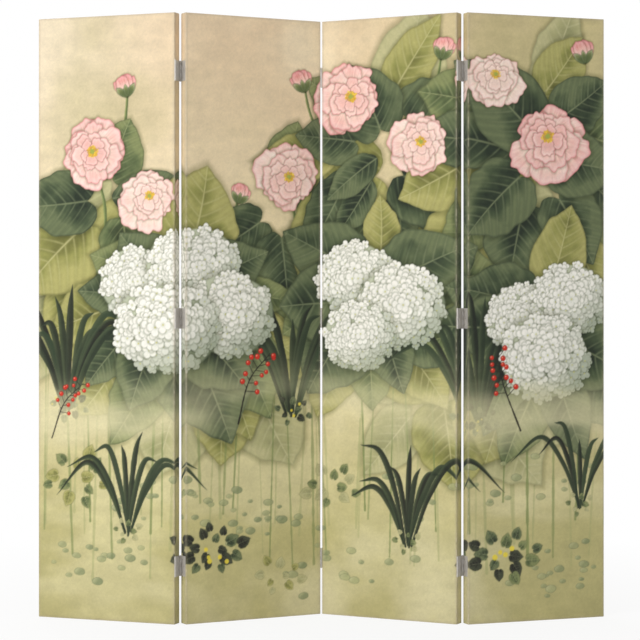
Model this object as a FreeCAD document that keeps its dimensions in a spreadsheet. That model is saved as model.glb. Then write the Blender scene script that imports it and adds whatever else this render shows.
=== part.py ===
import FreeCAD, Part
import os
import Sketcher

# A folding screen of four tall canvas panels that stands in a zigzag. Each panel is a wooden
# stretcher frame with a wrapped front canvas and a back canvas. Three two-way hinges join each
# fold: leaf, pin, link plate, pin, leaf. Lengths are in millimetres. X runs along the width,
# -Y points to the front and Z points up. The origin is on the floor under the screen's middle.

NODE_FOLDER = "parts"

# Driving sizes, each with the alias that it has in the sheet. Only the two angles are in degrees.
SIZES = {
    "panel_height": 1800.0,
    "panel_width": 450.0,
    "outer_panel_angle": 21.0,
    "inner_panel_angle": 28.5,
    "fold_gap": 4.6,
    "bar_width": 40.0,
    "bar_depth": 33.0,
    "canvas_sheet": 0.6,
    "canvas_lip": 24.0,
    "back_inset": 3.0,
    "tenon_length": 20.0,
    "tenon_thickness": 10.0,
    "tenon_shoulder": 6.0,
    "tenon_clearance": 0.1,
    "hinge_height": 60.0,
    "hinge_end_distance": 170.0,
    "leaf_sheet": 1.0,
    "leaf_margin": 3.5,
    "link_sheet": 1.0,
    "knuckle_radius": 1.9,
    "knuckle_clearance": 0.4,
    "pin_radius": 1.0,
    "pin_clearance": 0.05,
    "pin_offset": 0.6,
    "pin_head_radius": 1.5,
    "pin_head_height": 0.8,
    "screw_radius": 1.75,
    "screw_head_radius": 2.8,
    "screw_length": 18.0,
    "screw_clearance": 0.05,
    "screw_spacing": 19.0,
    "screw_stagger": 5.0,
    "recess_width": 0.8,
    "recess_length": 3.2,
    "recess_depth": 1.1,
    "cut_overrun": 1.0,
}

# Sizes that follow from the driving ones, as expressions on the sheet. Depths are counted from
# the panel's mid-depth, which is also the middle of each hinge.
PANEL_DEPTH = "(Sizes.bar_depth + 3 * Sizes.canvas_sheet)"
FRAME_FRONT = f"(Sizes.canvas_sheet - {PANEL_DEPTH} / 2)"
FRAME_BACK = f"({FRAME_FRONT} + Sizes.bar_depth)"
FRAME_WIDTH = "(Sizes.panel_width - 2 * Sizes.canvas_sheet)"
FRAME_HEIGHT = "(Sizes.panel_height - 2 * Sizes.canvas_sheet)"
RAIL_LENGTH = f"({FRAME_WIDTH} - 2 * Sizes.bar_width)"
TENON_HEIGHT = "(Sizes.bar_width - 2 * Sizes.tenon_shoulder)"
TENON_FRONT = f"({FRAME_FRONT} + (Sizes.bar_depth - Sizes.tenon_thickness) / 2)"
PIN_REACH = f"({PANEL_DEPTH} / 2 + Sizes.pin_offset)"
KNUCKLE_CLEAR = "(Sizes.knuckle_radius + Sizes.knuckle_clearance)"
LEAF_START = f"({KNUCKLE_CLEAR} - {PIN_REACH})"
LEAF_END = f"({PANEL_DEPTH} / 2 - Sizes.leaf_margin)"
SCREW_LINE = f"(({LEAF_START} + {LEAF_END}) / 2)"
SCREW_HOLE_RADIUS = "(Sizes.screw_radius + Sizes.screw_clearance)"
PIN_HOLE_RADIUS = "(Sizes.pin_radius + Sizes.pin_clearance)"

PANEL_COUNT = 4
PANELS = range(1, PANEL_COUNT + 1)
FOLDS = range(1, PANEL_COUNT)
# Every second fold points at the viewer and opens on its back pin, the others on their front pin
FOLDS_OPEN_AT_BACK = FOLDS[::2]
# The outer knuckles and every second one between belong to a leaf, the rest to the link plate
KNUCKLES = 5
LEAF_KNUCKLES = range(0, KNUCKLES, 2)
LINK_KNUCKLES = range(1, KNUCKLES, 2)
CROSS_RAIL_SHARES = {"lower": 1 / 3, "upper": 2 / 3}

doc = FreeCAD.newDocument("FoldingScreen")
sheet = doc.addObject("Spreadsheet::Sheet", "Sizes")
for row, (alias, number) in enumerate(SIZES.items(), start=1):
    sheet.set(f"A{row}", alias)
    sheet.set(f"B{row}", str(number))
    sheet.setAlias(f"B{row}", alias)
doc.recompute()

nodes = []


def value(expression):
    """The number that an expression on the sheet gives."""
    return float(sheet.evalExpression(expression))


def shift(along="0", back="0", up="0"):
    """A placement that only moves, by expressions on the sheet."""
    return FreeCAD.Placement(
        FreeCAD.Vector(value(along), value(back), value(up)), FreeCAD.Rotation()
    )


def turn(degrees):
    """A placement that only turns about the vertical."""
    return FreeCAD.Placement(FreeCAD.Vector(), FreeCAD.Rotation(FreeCAD.Vector(0, 0, 1), degrees))


def keep(sub_part, label, placement):
    """Labels a finished sub-part and puts it in its place."""
    sub_part.Label = label
    sub_part.Placement = placement
    nodes.append(sub_part)


# Solids and booleans

def bind(shape, bound):
    for name, expression in bound.items():
        shape.setExpression(name, expression)
    return shape


def place(shape, along="0", back="0", up="0"):
    return bind(shape, {
        ".Placement.Base.x": along,
        ".Placement.Base.y": back,
        ".Placement.Base.z": up,
    })


def box(name, length, width, height, **corner):
    solid = doc.addObject("Part::Box", name)
    bind(solid, {"Length": length, "Width": width, "Height": height})
    return place(solid, **corner)


def cylinder(name, radius, height, **base):
    solid = doc.addObject("Part::Cylinder", name)
    bind(solid, {"Radius": radius, "Height": height})
    return place(solid, **base)


def cone(name, base_radius, top_radius, height, **base):
    solid = doc.addObject("Part::Cone", name)
    bind(solid, {"Radius1": base_radius, "Radius2": top_radius, "Height": height})
    return place(solid, **base)


def lay_to_left(solid):
    """Turns an upright round solid so that it runs from its base along -X."""
    onto_side = FreeCAD.Rotation(FreeCAD.Vector(0, 1, 0), -90)
    solid.Placement = FreeCAD.Placement(solid.Placement.Base, onto_side)
    return solid


def fuse(name, solids):
    joined = doc.addObject("Part::MultiFuse", name)
    joined.Shapes = solids
    joined.Refine = True
    return joined


def cut(name, base, tools):
    tool = doc.addObject("Part::Compound", f"{name}_tools")
    tool.Links = tools
    result = doc.addObject("Part::Cut", name)
    result.Base = base
    result.Tool = tool
    return result


# Sketches on a body's own origin planes

def new_sketch(body, name, role, offset="0"):
    plane = next(item for item in body.Origin.OriginFeatures if item.Role == role)
    sketch = body.newObject("Sketcher::SketchObject", name)
    sketch.AttachmentSupport = [(plane, "")]
    sketch.MapMode = "FlatFace"
    sketch.setExpression(".AttachmentOffset.Base.z", offset)
    return sketch


def bind_distance(sketch, kind, first, second, expression):
    """Ties the signed distance between two sketch points to the sheet."""
    number = value(expression)
    if number < 0:
        first, second = second, first
        expression = f"-({expression})"
    index = sketch.addConstraint(Sketcher.Constraint(kind, *first, *second, abs(number)))
    sketch.setExpression(f"Constraints[{index}]", expression)


def sketch_rectangle(sketch, left, low, width, height):
    """Draws a rectangle whose lower left corner and sizes are expressions."""
    x0, y0 = value(left), value(low)
    x1, y1 = x0 + value(width), y0 + value(height)
    corners = [FreeCAD.Vector(*point) for point in ((x0, y0), (x1, y0), (x1, y1), (x0, y1))]
    sides = []
    for corner, following in zip(corners, corners[1:] + corners[:1]):
        sides.append(sketch.addGeometry(Part.LineSegment(corner, following)))
    for side, following in zip(sides, sides[1:] + sides[:1]):
        sketch.addConstraint(Sketcher.Constraint("Coincident", side, 2, following, 1))
    for side, direction in zip(sides, ("Horizontal", "Vertical", "Horizontal", "Vertical")):
        sketch.addConstraint(Sketcher.Constraint(direction, side))
    origin, corner = (-1, 1), (sides[0], 1)
    bind_distance(sketch, "DistanceX", corner, (sides[0], 2), width)
    bind_distance(sketch, "DistanceY", (sides[1], 1), (sides[1], 2), height)
    bind_distance(sketch, "DistanceX", origin, corner, left)
    bind_distance(sketch, "DistanceY", origin, corner, low)


def sketch_circle(sketch, across, up, radius):
    centre = FreeCAD.Vector(value(across), value(up))
    normal = FreeCAD.Vector(0, 0, 1)
    circle = sketch.addGeometry(Part.Circle(centre, normal, value(radius)))
    index = sketch.addConstraint(Sketcher.Constraint("Radius", circle, value(radius)))
    sketch.setExpression(f"Constraints[{index}]", radius)
    bind_distance(sketch, "DistanceX", (-1, 1), (circle, 3), across)
    bind_distance(sketch, "DistanceY", (-1, 1), (circle, 3), up)


def add_pad(body, name, sketch, length, both_ways=False):
    feature = body.newObject("PartDesign::Pad", name)
    feature.Profile = sketch
    feature.Midplane = both_ways
    feature.setExpression("Length", length)


def add_pocket(body, name, sketch, depth, along_normal):
    """Cuts a sketch into the body and makes sure that it takes something away."""
    doc.recompute()
    before = body.Shape.Volume
    feature = body.newObject("PartDesign::Pocket", name)
    feature.Profile = sketch
    feature.Reversed = along_normal
    feature.setExpression("Length", depth)
    doc.recompute()
    if not body.Shape.Volume < before:
        raise RuntimeError(f"{name} cuts nothing")


# Hinge heights and screw places, which panels and hinges share

def hinge_heights():
    """The height of each hinge's middle above the floor."""
    return {
        "low": "Sizes.hinge_end_distance",
        "middle": "(Sizes.panel_height / 2)",
        "high": "(Sizes.panel_height - Sizes.hinge_end_distance)",
    }


def screw_places():
    """For each screw of a left leaf, its place behind mid-depth and above the hinge's middle."""
    return {
        "low": (f"({SCREW_LINE} - Sizes.screw_stagger)", "-Sizes.screw_spacing"),
        "middle": (f"({SCREW_LINE} + Sizes.screw_stagger)", "0"),
        "high": (f"({SCREW_LINE} - Sizes.screw_stagger)", "Sizes.screw_spacing"),
    }


def pilot_places(side):
    """The screws that enter one edge of a panel, from its mid-depth and from the floor."""
    # A right leaf is a left leaf turned half round, so its screws lie mirrored in depth
    sign = "" if side == "right" else "-"
    places = []
    for hinge_height in hinge_heights().values():
        for back, up in screw_places().values():
            places.append((f"{sign}{back}", f"({hinge_height} + {up})"))
    return places


def is_hinged(panel, side):
    """True for an edge at a fold, which is every edge but the screen's two outer ones."""
    outer_panel = PANELS[0] if side == "left" else PANELS[-1]
    return panel != outer_panel


# The wooden frame of one panel

def rail_heights():
    """The height of each rail's middle above the floor."""
    from_end = "(Sizes.canvas_sheet + Sizes.bar_width / 2)"
    heights = {"bottom_rail": from_end, "top_rail": f"(Sizes.panel_height - {from_end})"}
    for name, share in CROSS_RAIL_SHARES.items():
        heights[f"{name}_cross_rail"] = f"(Sizes.panel_height * {share})"
    return heights


def make_stile(panel, side, panel_place):
    """An upright bar, drawn with its inner face on the YZ plane and its foot on the floor."""
    name = f"panel_{panel}_{side}_stile"
    on_left = side == "left"
    body = doc.addObject("PartDesign::Body", name)
    outline = new_sketch(body, f"{name}_outline", "XY_Plane", "Sizes.canvas_sheet")
    outer_left = "-Sizes.bar_width" if on_left else "0"
    sketch_rectangle(outline, outer_left, FRAME_FRONT, "Sizes.bar_width", "Sizes.bar_depth")
    add_pad(body, f"{name}_bar", outline, FRAME_HEIGHT)

    mortises = new_sketch(body, f"{name}_mortise_outlines", "YZ_Plane")
    front = f"({TENON_FRONT} - Sizes.tenon_clearance)"
    thickness = "(Sizes.tenon_thickness + 2 * Sizes.tenon_clearance)"
    height = f"({TENON_HEIGHT} + 2 * Sizes.tenon_clearance)"
    for middle in rail_heights().values():
        sketch_rectangle(mortises, front, f"({middle} - {height} / 2)", thickness, height)
    depth = "Sizes.tenon_length + Sizes.tenon_clearance"
    add_pocket(body, f"{name}_mortises", mortises, depth, along_normal=not on_left)

    if is_hinged(panel, side):
        outer_face = "-Sizes.bar_width" if on_left else "Sizes.bar_width"
        pilots = new_sketch(body, f"{name}_pilot_circles", "YZ_Plane", outer_face)
        for back, up in pilot_places(side):
            sketch_circle(pilots, back, up, SCREW_HOLE_RADIUS)
        add_pocket(body, f"{name}_pilots", pilots, "Sizes.screw_length", along_normal=on_left)

    inner_face = "Sizes.canvas_sheet + Sizes.bar_width"
    if not on_left:
        inner_face = f"Sizes.panel_width - ({inner_face})"
    keep(body, name, panel_place * shift(inner_face))


def make_rail(panel, rail, middle, panel_place):
    """A bar across the panel with a tenon at each end, drawn about its own middle."""
    name = f"panel_{panel}_{rail}"
    body = doc.addObject("PartDesign::Body", name)
    outline = new_sketch(body, f"{name}_outline", "YZ_Plane")
    sketch_rectangle(
        outline, FRAME_FRONT, "-Sizes.bar_width / 2", "Sizes.bar_depth", "Sizes.bar_width"
    )
    add_pad(body, f"{name}_bar", outline, RAIL_LENGTH, both_ways=True)
    tenons = new_sketch(body, f"{name}_tenon_outline", "YZ_Plane")
    sketch_rectangle(
        tenons, TENON_FRONT, f"-{TENON_HEIGHT} / 2", "Sizes.tenon_thickness", TENON_HEIGHT
    )
    tenon_span = f"{RAIL_LENGTH} + 2 * Sizes.tenon_length"
    add_pad(body, f"{name}_tenons", tenons, tenon_span, both_ways=True)
    keep(body, name, panel_place * shift("Sizes.panel_width / 2", up=middle))


# The canvases of one panel

def canvas_holes(name, panel):
    """Round cutters for the screws that pass through the wrapped edges."""
    edges = {"left": "Sizes.canvas_sheet", "right": "Sizes.panel_width"}
    holes = []
    for side, edge in edges.items():
        if not is_hinged(panel, side):
            continue
        for back, up in pilot_places(side):
            hole = cylinder(
                f"{name}_{side}_hole",
                SCREW_HOLE_RADIUS,
                "Sizes.canvas_sheet + 2 * Sizes.cut_overrun",
                along=f"{edge} + Sizes.cut_overrun",
                back=back,
                up=up,
            )
            holes.append(lay_to_left(hole))
    return holes


def make_front_canvas(panel, panel_place):
    """One sheet over the front, round the four edges and turned in on the back of the frame."""
    name = f"panel_{panel}_front_canvas"
    wrapped = box(
        f"{name}_outside",
        "Sizes.panel_width",
        "Sizes.bar_depth + 2 * Sizes.canvas_sheet",
        "Sizes.panel_height",
        back=f"-{PANEL_DEPTH} / 2",
    )
    frame_room = box(
        f"{name}_frame_room",
        FRAME_WIDTH,
        "Sizes.bar_depth",
        FRAME_HEIGHT,
        along="Sizes.canvas_sheet",
        back=FRAME_FRONT,
        up="Sizes.canvas_sheet",
    )
    back_opening = box(
        f"{name}_back_opening",
        "Sizes.panel_width - 2 * Sizes.canvas_lip",
        "Sizes.canvas_sheet + 2 * Sizes.cut_overrun",
        "Sizes.panel_height - 2 * Sizes.canvas_lip",
        along="Sizes.canvas_lip",
        back=f"{FRAME_BACK} - Sizes.cut_overrun",
        up="Sizes.canvas_lip",
    )
    tools = [frame_room, back_opening] + canvas_holes(name, panel)
    keep(cut(name, wrapped, tools), name, panel_place)


def make_back_canvas(panel, panel_place):
    """A sheet over the back of the panel, a little smaller than the panel."""
    name = f"panel_{panel}_back_canvas"
    flat = doc.addObject("Part::Box", name)
    bind(flat, {
        "Length": "Sizes.panel_width - 2 * Sizes.back_inset",
        "Width": "Sizes.canvas_sheet",
        "Height": "Sizes.panel_height - 2 * Sizes.back_inset",
    })
    corner = shift("Sizes.back_inset", f"{FRAME_BACK} + Sizes.canvas_sheet", "Sizes.back_inset")
    keep(flat, name, panel_place * corner)


# The hinge's pieces, drawn about the hinge's middle with the fold closed flat

def knuckle_base(index):
    """The lower end of one of the stacked knuckles."""
    pitch = f"Sizes.hinge_height / {KNUCKLES}"
    return f"({index} * {pitch} - Sizes.hinge_height / 2 + Sizes.knuckle_clearance / 2)"


def knuckle_length():
    return f"(Sizes.hinge_height / {KNUCKLES} - Sizes.knuckle_clearance)"


def knuckles(name, indices, sheet_start, sheet_size, pin_back, toward_pin):
    """Knuckles on one pin, each with the strip of plate that carries it."""
    solids = []
    strip_back = pin_back if toward_pin == "front" else f"({pin_back} - {KNUCKLE_CLEAR})"
    for index in indices:
        height = {"height": knuckle_length(), "up": knuckle_base(index)}
        solids.append(cylinder(f"{name}_knuckle", "Sizes.knuckle_radius", back=pin_back, **height))
        solids.append(box(
            f"{name}_strip", sheet_size, KNUCKLE_CLEAR, along=sheet_start, back=strip_back, **height
        ))
    return solids


def pin_bore(name, pin_back):
    return cylinder(
        f"{name}_bore",
        PIN_HOLE_RADIUS,
        "Sizes.hinge_height + 2 * Sizes.cut_overrun",
        back=pin_back,
        up="-Sizes.hinge_height / 2 - Sizes.cut_overrun",
    )


def make_leaf():
    """The leaf on the panel to the left, with its knuckles on the front pin."""
    name = "leaf"
    outer_face = "-Sizes.fold_gap / 2"
    plate = box(
        f"{name}_plate",
        "Sizes.leaf_sheet",
        f"{LEAF_END} - {LEAF_START}",
        "Sizes.hinge_height",
        along=outer_face,
        back=LEAF_START,
        up="-Sizes.hinge_height / 2",
    )
    front_pin = f"-{PIN_REACH}"
    strips = knuckles(name, LEAF_KNUCKLES, outer_face, "Sizes.leaf_sheet", front_pin, "front")
    holes = [pin_bore(name, front_pin)]
    for back, up in screw_places().values():
        holes.append(lay_to_left(cone(
            f"{name}_countersink",
            "Sizes.screw_head_radius",
            SCREW_HOLE_RADIUS,
            "Sizes.leaf_sheet",
            along="Sizes.leaf_sheet - Sizes.fold_gap / 2",
            back=back,
            up=up,
        )))
    return cut(name, fuse(f"{name}_solid", [plate] + strips), holes)


def make_link():
    """The plate between the leaves, with knuckles on both pins."""
    name = "link"
    near_face = "-Sizes.link_sheet / 2"
    plate = box(
        f"{name}_plate",
        "Sizes.link_sheet",
        f"2 * ({PIN_REACH} - {KNUCKLE_CLEAR})",
        "Sizes.hinge_height",
        along=near_face,
        back=LEAF_START,
        up="-Sizes.hinge_height / 2",
    )
    solids = [plate]
    bores = []
    for side, pin_back in (("front", f"-{PIN_REACH}"), ("back", PIN_REACH)):
        solids += knuckles(name, LINK_KNUCKLES, near_face, "Sizes.link_sheet", pin_back, side)
        bores.append(pin_bore(name, pin_back))
    return cut(name, fuse(f"{name}_solid", solids), bores)


def make_pin():
    """A pin with a round head at each end, drawn about its own middle."""
    name = "pin"
    between_heads = "(Sizes.hinge_height + 2 * Sizes.pin_clearance)"
    shaft = cylinder(f"{name}_shaft", "Sizes.pin_radius", between_heads, up=f"-{between_heads} / 2")
    head = {"radius": "Sizes.pin_head_radius", "height": "Sizes.pin_head_height"}
    top = cylinder(f"{name}_top", up=f"{between_heads} / 2", **head)
    bottom = cylinder(f"{name}_bottom", up=f"-{between_heads} / 2 - Sizes.pin_head_height", **head)
    return fuse(name, [shaft, top, bottom])


def make_screw():
    """A countersunk screw that points along -X, drawn from the middle of its head's face."""
    name = "screw"
    head = lay_to_left(cone(
        f"{name}_head", "Sizes.screw_head_radius", SCREW_HOLE_RADIUS, "Sizes.leaf_sheet"
    ))
    shank = lay_to_left(cylinder(f"{name}_shank", "Sizes.screw_radius", "Sizes.screw_length"))
    recess = []
    for width, height in (("width", "length"), ("length", "width")):
        recess.append(box(
            f"{name}_recess",
            "Sizes.recess_depth + Sizes.cut_overrun",
            f"Sizes.recess_{width}",
            f"Sizes.recess_{height}",
            along="-Sizes.recess_depth",
            back=f"-Sizes.recess_{width} / 2",
            up=f"-Sizes.recess_{height} / 2",
        ))
    return cut(name, fuse(f"{name}_solid", [head, shank]), recess)


def copies(name, source, placements):
    """Linked copies of one piece."""
    links = []
    for placement in placements:
        link = doc.addObject("App::Link", f"{name}_copy")
        link.LinkedObject = source
        link.Placement = placement
        links.append(link)
    return links


def hinge_set(label, links, placement):
    """The three alike pieces of a fold's hinges, or their screws, as one sub-part."""
    pieces = doc.addObject("Part::Compound", label)
    pieces.Links = links
    keep(pieces, label, placement)


def make_hinge_copies():
    """Copies of each hinge piece at the three heights, which every fold then shares."""
    leaf, link, pin, screw = make_leaf(), make_link(), make_pin(), make_screw()
    ups = list(hinge_heights().values())
    screw_face = "Sizes.leaf_sheet - Sizes.fold_gap / 2"
    screw_shifts = []
    for up in ups:
        for back, above in screw_places().values():
            screw_shifts.append(shift(screw_face, back, f"({up} + {above})"))
    return {
        "leaves": copies("leaf", leaf, [shift(up=up) for up in ups]),
        "links": copies("link", link, [shift(up=up) for up in ups]),
        "pins": copies("pin", pin, [shift(up=up) for up in ups]),
        "screws": copies("screw", screw, screw_shifts),
    }


# Where each panel and each side of a fold stands

def panel_angle(panel):
    """How far a panel stands turned out of the screen's row, whichever way."""
    is_outer = panel in (PANELS[0], PANELS[-1])
    return value("Sizes.outer_panel_angle" if is_outer else "Sizes.inner_panel_angle")


def fold_turn(fold):
    """How a fold is opened at rest: about its back pin, or the other way about its front pin."""
    angle = panel_angle(fold) + panel_angle(fold + 1)
    if fold in FOLDS_OPEN_AT_BACK:
        return shift(back=PIN_REACH) * turn(angle) * shift(back=f"-{PIN_REACH}")
    return shift(back=f"-{PIN_REACH}") * turn(-angle) * shift(back=PIN_REACH)


def lay_out():
    """Places of the panels and of the left and right halves of each fold, as they stand."""
    panel_places = {PANELS[0]: turn(-panel_angle(PANELS[0]))}
    left_places, right_places = {}, {}
    for fold in FOLDS:
        left_places[fold] = panel_places[fold] * shift("Sizes.panel_width + Sizes.fold_gap / 2")
        right_places[fold] = left_places[fold] * fold_turn(fold)
        panel_places[fold + 1] = right_places[fold] * shift("Sizes.fold_gap / 2")
    return panel_places, left_places, right_places


def make_panel(panel, panel_place):
    for side in ("left", "right"):
        make_stile(panel, side, panel_place)
    for rail, middle in rail_heights().items():
        make_rail(panel, rail, middle, panel_place)
    make_front_canvas(panel, panel_place)
    make_back_canvas(panel, panel_place)


def make_fold(fold, left_place, right_place, hinge_copies):
    """The hinge pieces of one fold. The link plates stay with the side whose pin is closed."""
    link_place = left_place if fold in FOLDS_OPEN_AT_BACK else right_place
    half_round = right_place * turn(180)
    hinge_set(f"fold_{fold}_left_leaves", hinge_copies["leaves"], left_place)
    hinge_set(f"fold_{fold}_left_screws", hinge_copies["screws"], left_place)
    hinge_set(f"fold_{fold}_right_leaves", hinge_copies["leaves"], half_round)
    hinge_set(f"fold_{fold}_right_screws", hinge_copies["screws"], half_round)
    hinge_set(f"fold_{fold}_links", hinge_copies["links"], link_place)
    for side, pin_back in (("front", f"-{PIN_REACH}"), ("back", PIN_REACH)):
        hinge_set(f"fold_{fold}_{side}_pins", hinge_copies["pins"], link_place * shift(back=pin_back))


def centre_on_floor():
    """Moves the whole screen so that the origin is under its middle."""
    doc.recompute()
    whole = FreeCAD.BoundBox()
    for node in nodes:
        whole.add(node.Shape.BoundBox)
    to_origin = FreeCAD.Placement(
        FreeCAD.Vector(-whole.Center.x, -whole.Center.y, -whole.ZMin), FreeCAD.Rotation()
    )
    for node in nodes:
        node.Placement = to_origin * node.Placement
    doc.recompute()
    return to_origin


def check():
    """Stops where an object failed or a sub-part isn't a sound solid."""
    for item in doc.Objects:
        if "Invalid" in item.State or "Error" in item.State:
            raise RuntimeError(f"{item.Name} failed: {item.State}")
    for node in nodes:
        if node.Shape.isNull() or not node.Shape.isValid() or not node.Shape.Solids:
            raise RuntimeError(f"{node.Label} has no valid solid")


def print_pins(left_places, right_places, to_origin):
    """Prints where each fold's two pins stand, from the origin."""
    for fold in FOLDS:
        link_place = left_places[fold] if fold in FOLDS_OPEN_AT_BACK else right_places[fold]
        for side, pin_back in (("front", f"-{PIN_REACH}"), ("back", PIN_REACH)):
            spot = (to_origin * link_place * shift(back=pin_back)).Base
            print(f"fold_{fold} {side} pin at x {spot.x:.4f} y {spot.y:.4f}")


def write():
    os.makedirs(NODE_FOLDER, exist_ok=True)
    for node in nodes:
        node.Shape.exportStep(f"{NODE_FOLDER}/{node.Label}.step")
    print(f"wrote {len(nodes)} sub-parts")


panel_places, left_places, right_places = lay_out()
hinge_copies = make_hinge_copies()
for panel in PANELS:
    make_panel(panel, panel_places[panel])
for fold in FOLDS:
    make_fold(fold, left_places[fold], right_places[fold], hinge_copies)
to_origin = centre_on_floor()
check()
print_pins(left_places, right_places, to_origin)
write()
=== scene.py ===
"""Looks of the folding screen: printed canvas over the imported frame, its hinges, and the studio."""
import math

import bpy
import numpy as np
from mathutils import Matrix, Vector


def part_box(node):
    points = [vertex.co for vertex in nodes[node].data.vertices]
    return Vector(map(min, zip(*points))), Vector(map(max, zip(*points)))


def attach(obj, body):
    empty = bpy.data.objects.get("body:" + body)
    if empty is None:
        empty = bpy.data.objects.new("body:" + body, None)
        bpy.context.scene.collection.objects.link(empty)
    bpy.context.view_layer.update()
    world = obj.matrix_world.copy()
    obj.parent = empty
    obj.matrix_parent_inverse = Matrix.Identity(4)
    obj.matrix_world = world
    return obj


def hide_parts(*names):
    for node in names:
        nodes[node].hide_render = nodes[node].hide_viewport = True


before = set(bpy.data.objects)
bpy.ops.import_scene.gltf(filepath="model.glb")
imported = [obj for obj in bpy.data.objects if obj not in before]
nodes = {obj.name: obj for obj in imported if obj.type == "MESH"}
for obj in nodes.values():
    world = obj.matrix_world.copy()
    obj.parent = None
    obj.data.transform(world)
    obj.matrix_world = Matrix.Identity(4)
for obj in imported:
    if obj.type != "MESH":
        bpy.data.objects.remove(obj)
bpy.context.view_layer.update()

# Sizes of the screen in metres and the turns of its panels, as in the construction.
PANELS = (1, 2, 3, 4)
FOLDS = (1, 2, 3)
PANEL_WIDTH = 0.450
PANEL_HEIGHT = 1.800
BAR_DEPTH = 0.033
CLOTH = 0.0006
LIP = 0.024
BACK_INSET = 0.003
OUTER_TURN = math.radians(21)
INNER_TURN = math.radians(28.5)

# Depths of a panel's layers from its middle, and how far the front cloth reaches past its front.
BACK = 0.5 * (BAR_DEPTH + 3 * CLOTH)
FRONT = -BACK
CANVAS_BACK = BACK - CLOTH
CANVAS_MIDDLE = 0.5 * (FRONT + CANVAS_BACK)
WRAP = LIP + CANVAS_BACK - FRONT
SCREEN_WIDTH = PANEL_WIDTH * len(PANELS)

# The cloth: its rounded edges, the pleats at its corners, how slack it hangs, and its threads.
EDGE_ROUND = 0.0014
PLEAT_RISE = 0.0006
PLEAT_SLOPE = 0.0020
SLACK = 0.0005
SLACK_SIZE = 0.30
SLACK_RIM = 0.05
BACK_SLACK_START = 0.006
THREAD = 0.0009
EDGE_STEP_SHARES = (0.0, 0.25, 0.5, 0.75, 1.0)
SIDE_STEPS = 14
LIP_STEP_SHARES = (0.3, 0.65, 1.0)

# How the back sheet's rim turns down: how far in and how far up, as shares of its thickness.
RIM_SHARES = ((0.0, 0.0), (0.12, 0.45), (0.45, 0.88), (1.0, 1.0))

# Wear and painted shade along the edges: how far the painted shade reaches, the size of the patches, and the
# colours of the painted shade and of the rubbed cloth.
EDGE_SHADE_REACH = 0.009
RUB_PATCH = 0.02
EDGE_SHADE_COLOUR = (0.66, 0.61, 0.53)
RUBBED = (0.90, 0.87, 0.80)

# Spacing of the dots that are painted, and of the points of the canvas that carry their colours.
DOT = 0.0015
FRONT_COLUMNS = 190
FRONT_ROWS = 760
BACK_COLUMNS = 150
BACK_ROWS = 600

# The studio. Each lamp has a name, a place, a size, a power in watts and a colour.
FLOOR_HALF = 30.0
FLOOR_TONES = ((0.925, 0.92, 0.91), (0.94, 0.935, 0.925))
FLOOR_ROUGHNESS = 0.9
LAMPS = (
    ("key_lamp", (-3.4, -4.2, 2.6), 2.2, 167.0, (1.0, 0.99, 0.985)),
    ("fill_lamp", (3.8, -4.6, 2.0), 2.6, 17.0, (0.97, 0.985, 1.0)),
    ("back_lamp", (-1.5, 4.6, 2.8), 2.6, 60.0, (1.0, 1.0, 1.0)),
)
LAMP_AIM = (0, 0, 0.9)
LENS = 121.08
VIEW_SHIFT = -0.0343
CAMERA_PLACE = (-0.0039, -6.45, 0.96)

# How strongly the air lights the screen, and how much of the floor's own look is a plain white: its
# share near the screen, and the distances from where it rises to the whole.
AIR_LIGHT = 0.565
NEAR_WHITE_SHARE = 0.86
FLOOR_FADE = (0.6, 2.4)

# The finishes' colours. Each metal has its plain colour and its tarnished one.
PLATE_TONES = ((0.785, 0.77, 0.745), (0.665, 0.645, 0.62))
SCREW_TONES = ((0.76, 0.745, 0.72), (0.58, 0.56, 0.53))
WOOD_TONES = ((0.86, 0.73, 0.53), (0.70, 0.52, 0.32))
WOOD_FIBRE = (0.58, 0.42, 0.26)

# Scales of the finishes' patterns, in waves to the metre along each axis or along all.
SLUB_ACROSS = (12, 900, 1)
SLUB_UP = (900, 12, 1)
PIGMENT_SCALE = 260.0
PATCH_SCALE = 9.0
MARK_SCALE = 120.0
TARNISH_SCALE = 38.0
BRUSHED_UP = (900, 900, 25)
BRUSHED_ALL = (500, 500, 500)
GRAIN_UP = (60, 60, 4)
GRAIN_ALONG = (4, 60, 60)
FIBRES = (9, 9, 9)
SPECK_SCALE = 14.0

# Heights of the finishes' bumps in metres.
WEAVE_BUMP = 0.22 * THREAD
BRUSH_BUMP = 0.00005
WOOD_BUMP = 0.0002

# Display colours of the print, each as red, green and blue from 0 to 1.
WHITE = (1, 1, 1)
SHADE = (0.42, 0.44, 0.33)
INK = (0.13, 0.12, 0.10)

# Each leaf tone as the colour at its rib, between, at its rim, and of its veins.
LEAF_TONES = {
    "deep": ((0.15, 0.19, 0.14), (0.28, 0.33, 0.23), (0.43, 0.47, 0.33), (0.55, 0.58, 0.43)),
    "green": ((0.24, 0.28, 0.18), (0.38, 0.43, 0.28), (0.53, 0.56, 0.37), (0.64, 0.66, 0.47)),
    "fresh": ((0.43, 0.43, 0.23), (0.57, 0.57, 0.32), (0.69, 0.67, 0.42), (0.77, 0.75, 0.54)),
    "far": ((0.58, 0.58, 0.41), (0.66, 0.65, 0.47), (0.74, 0.72, 0.54), (0.78, 0.76, 0.60)),
    "ink": ((0.10, 0.10, 0.09), (0.16, 0.17, 0.14), (0.25, 0.27, 0.21), (0.40, 0.42, 0.33)),
}
LUSH = ("fresh", "green", "deep", "deep")

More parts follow.
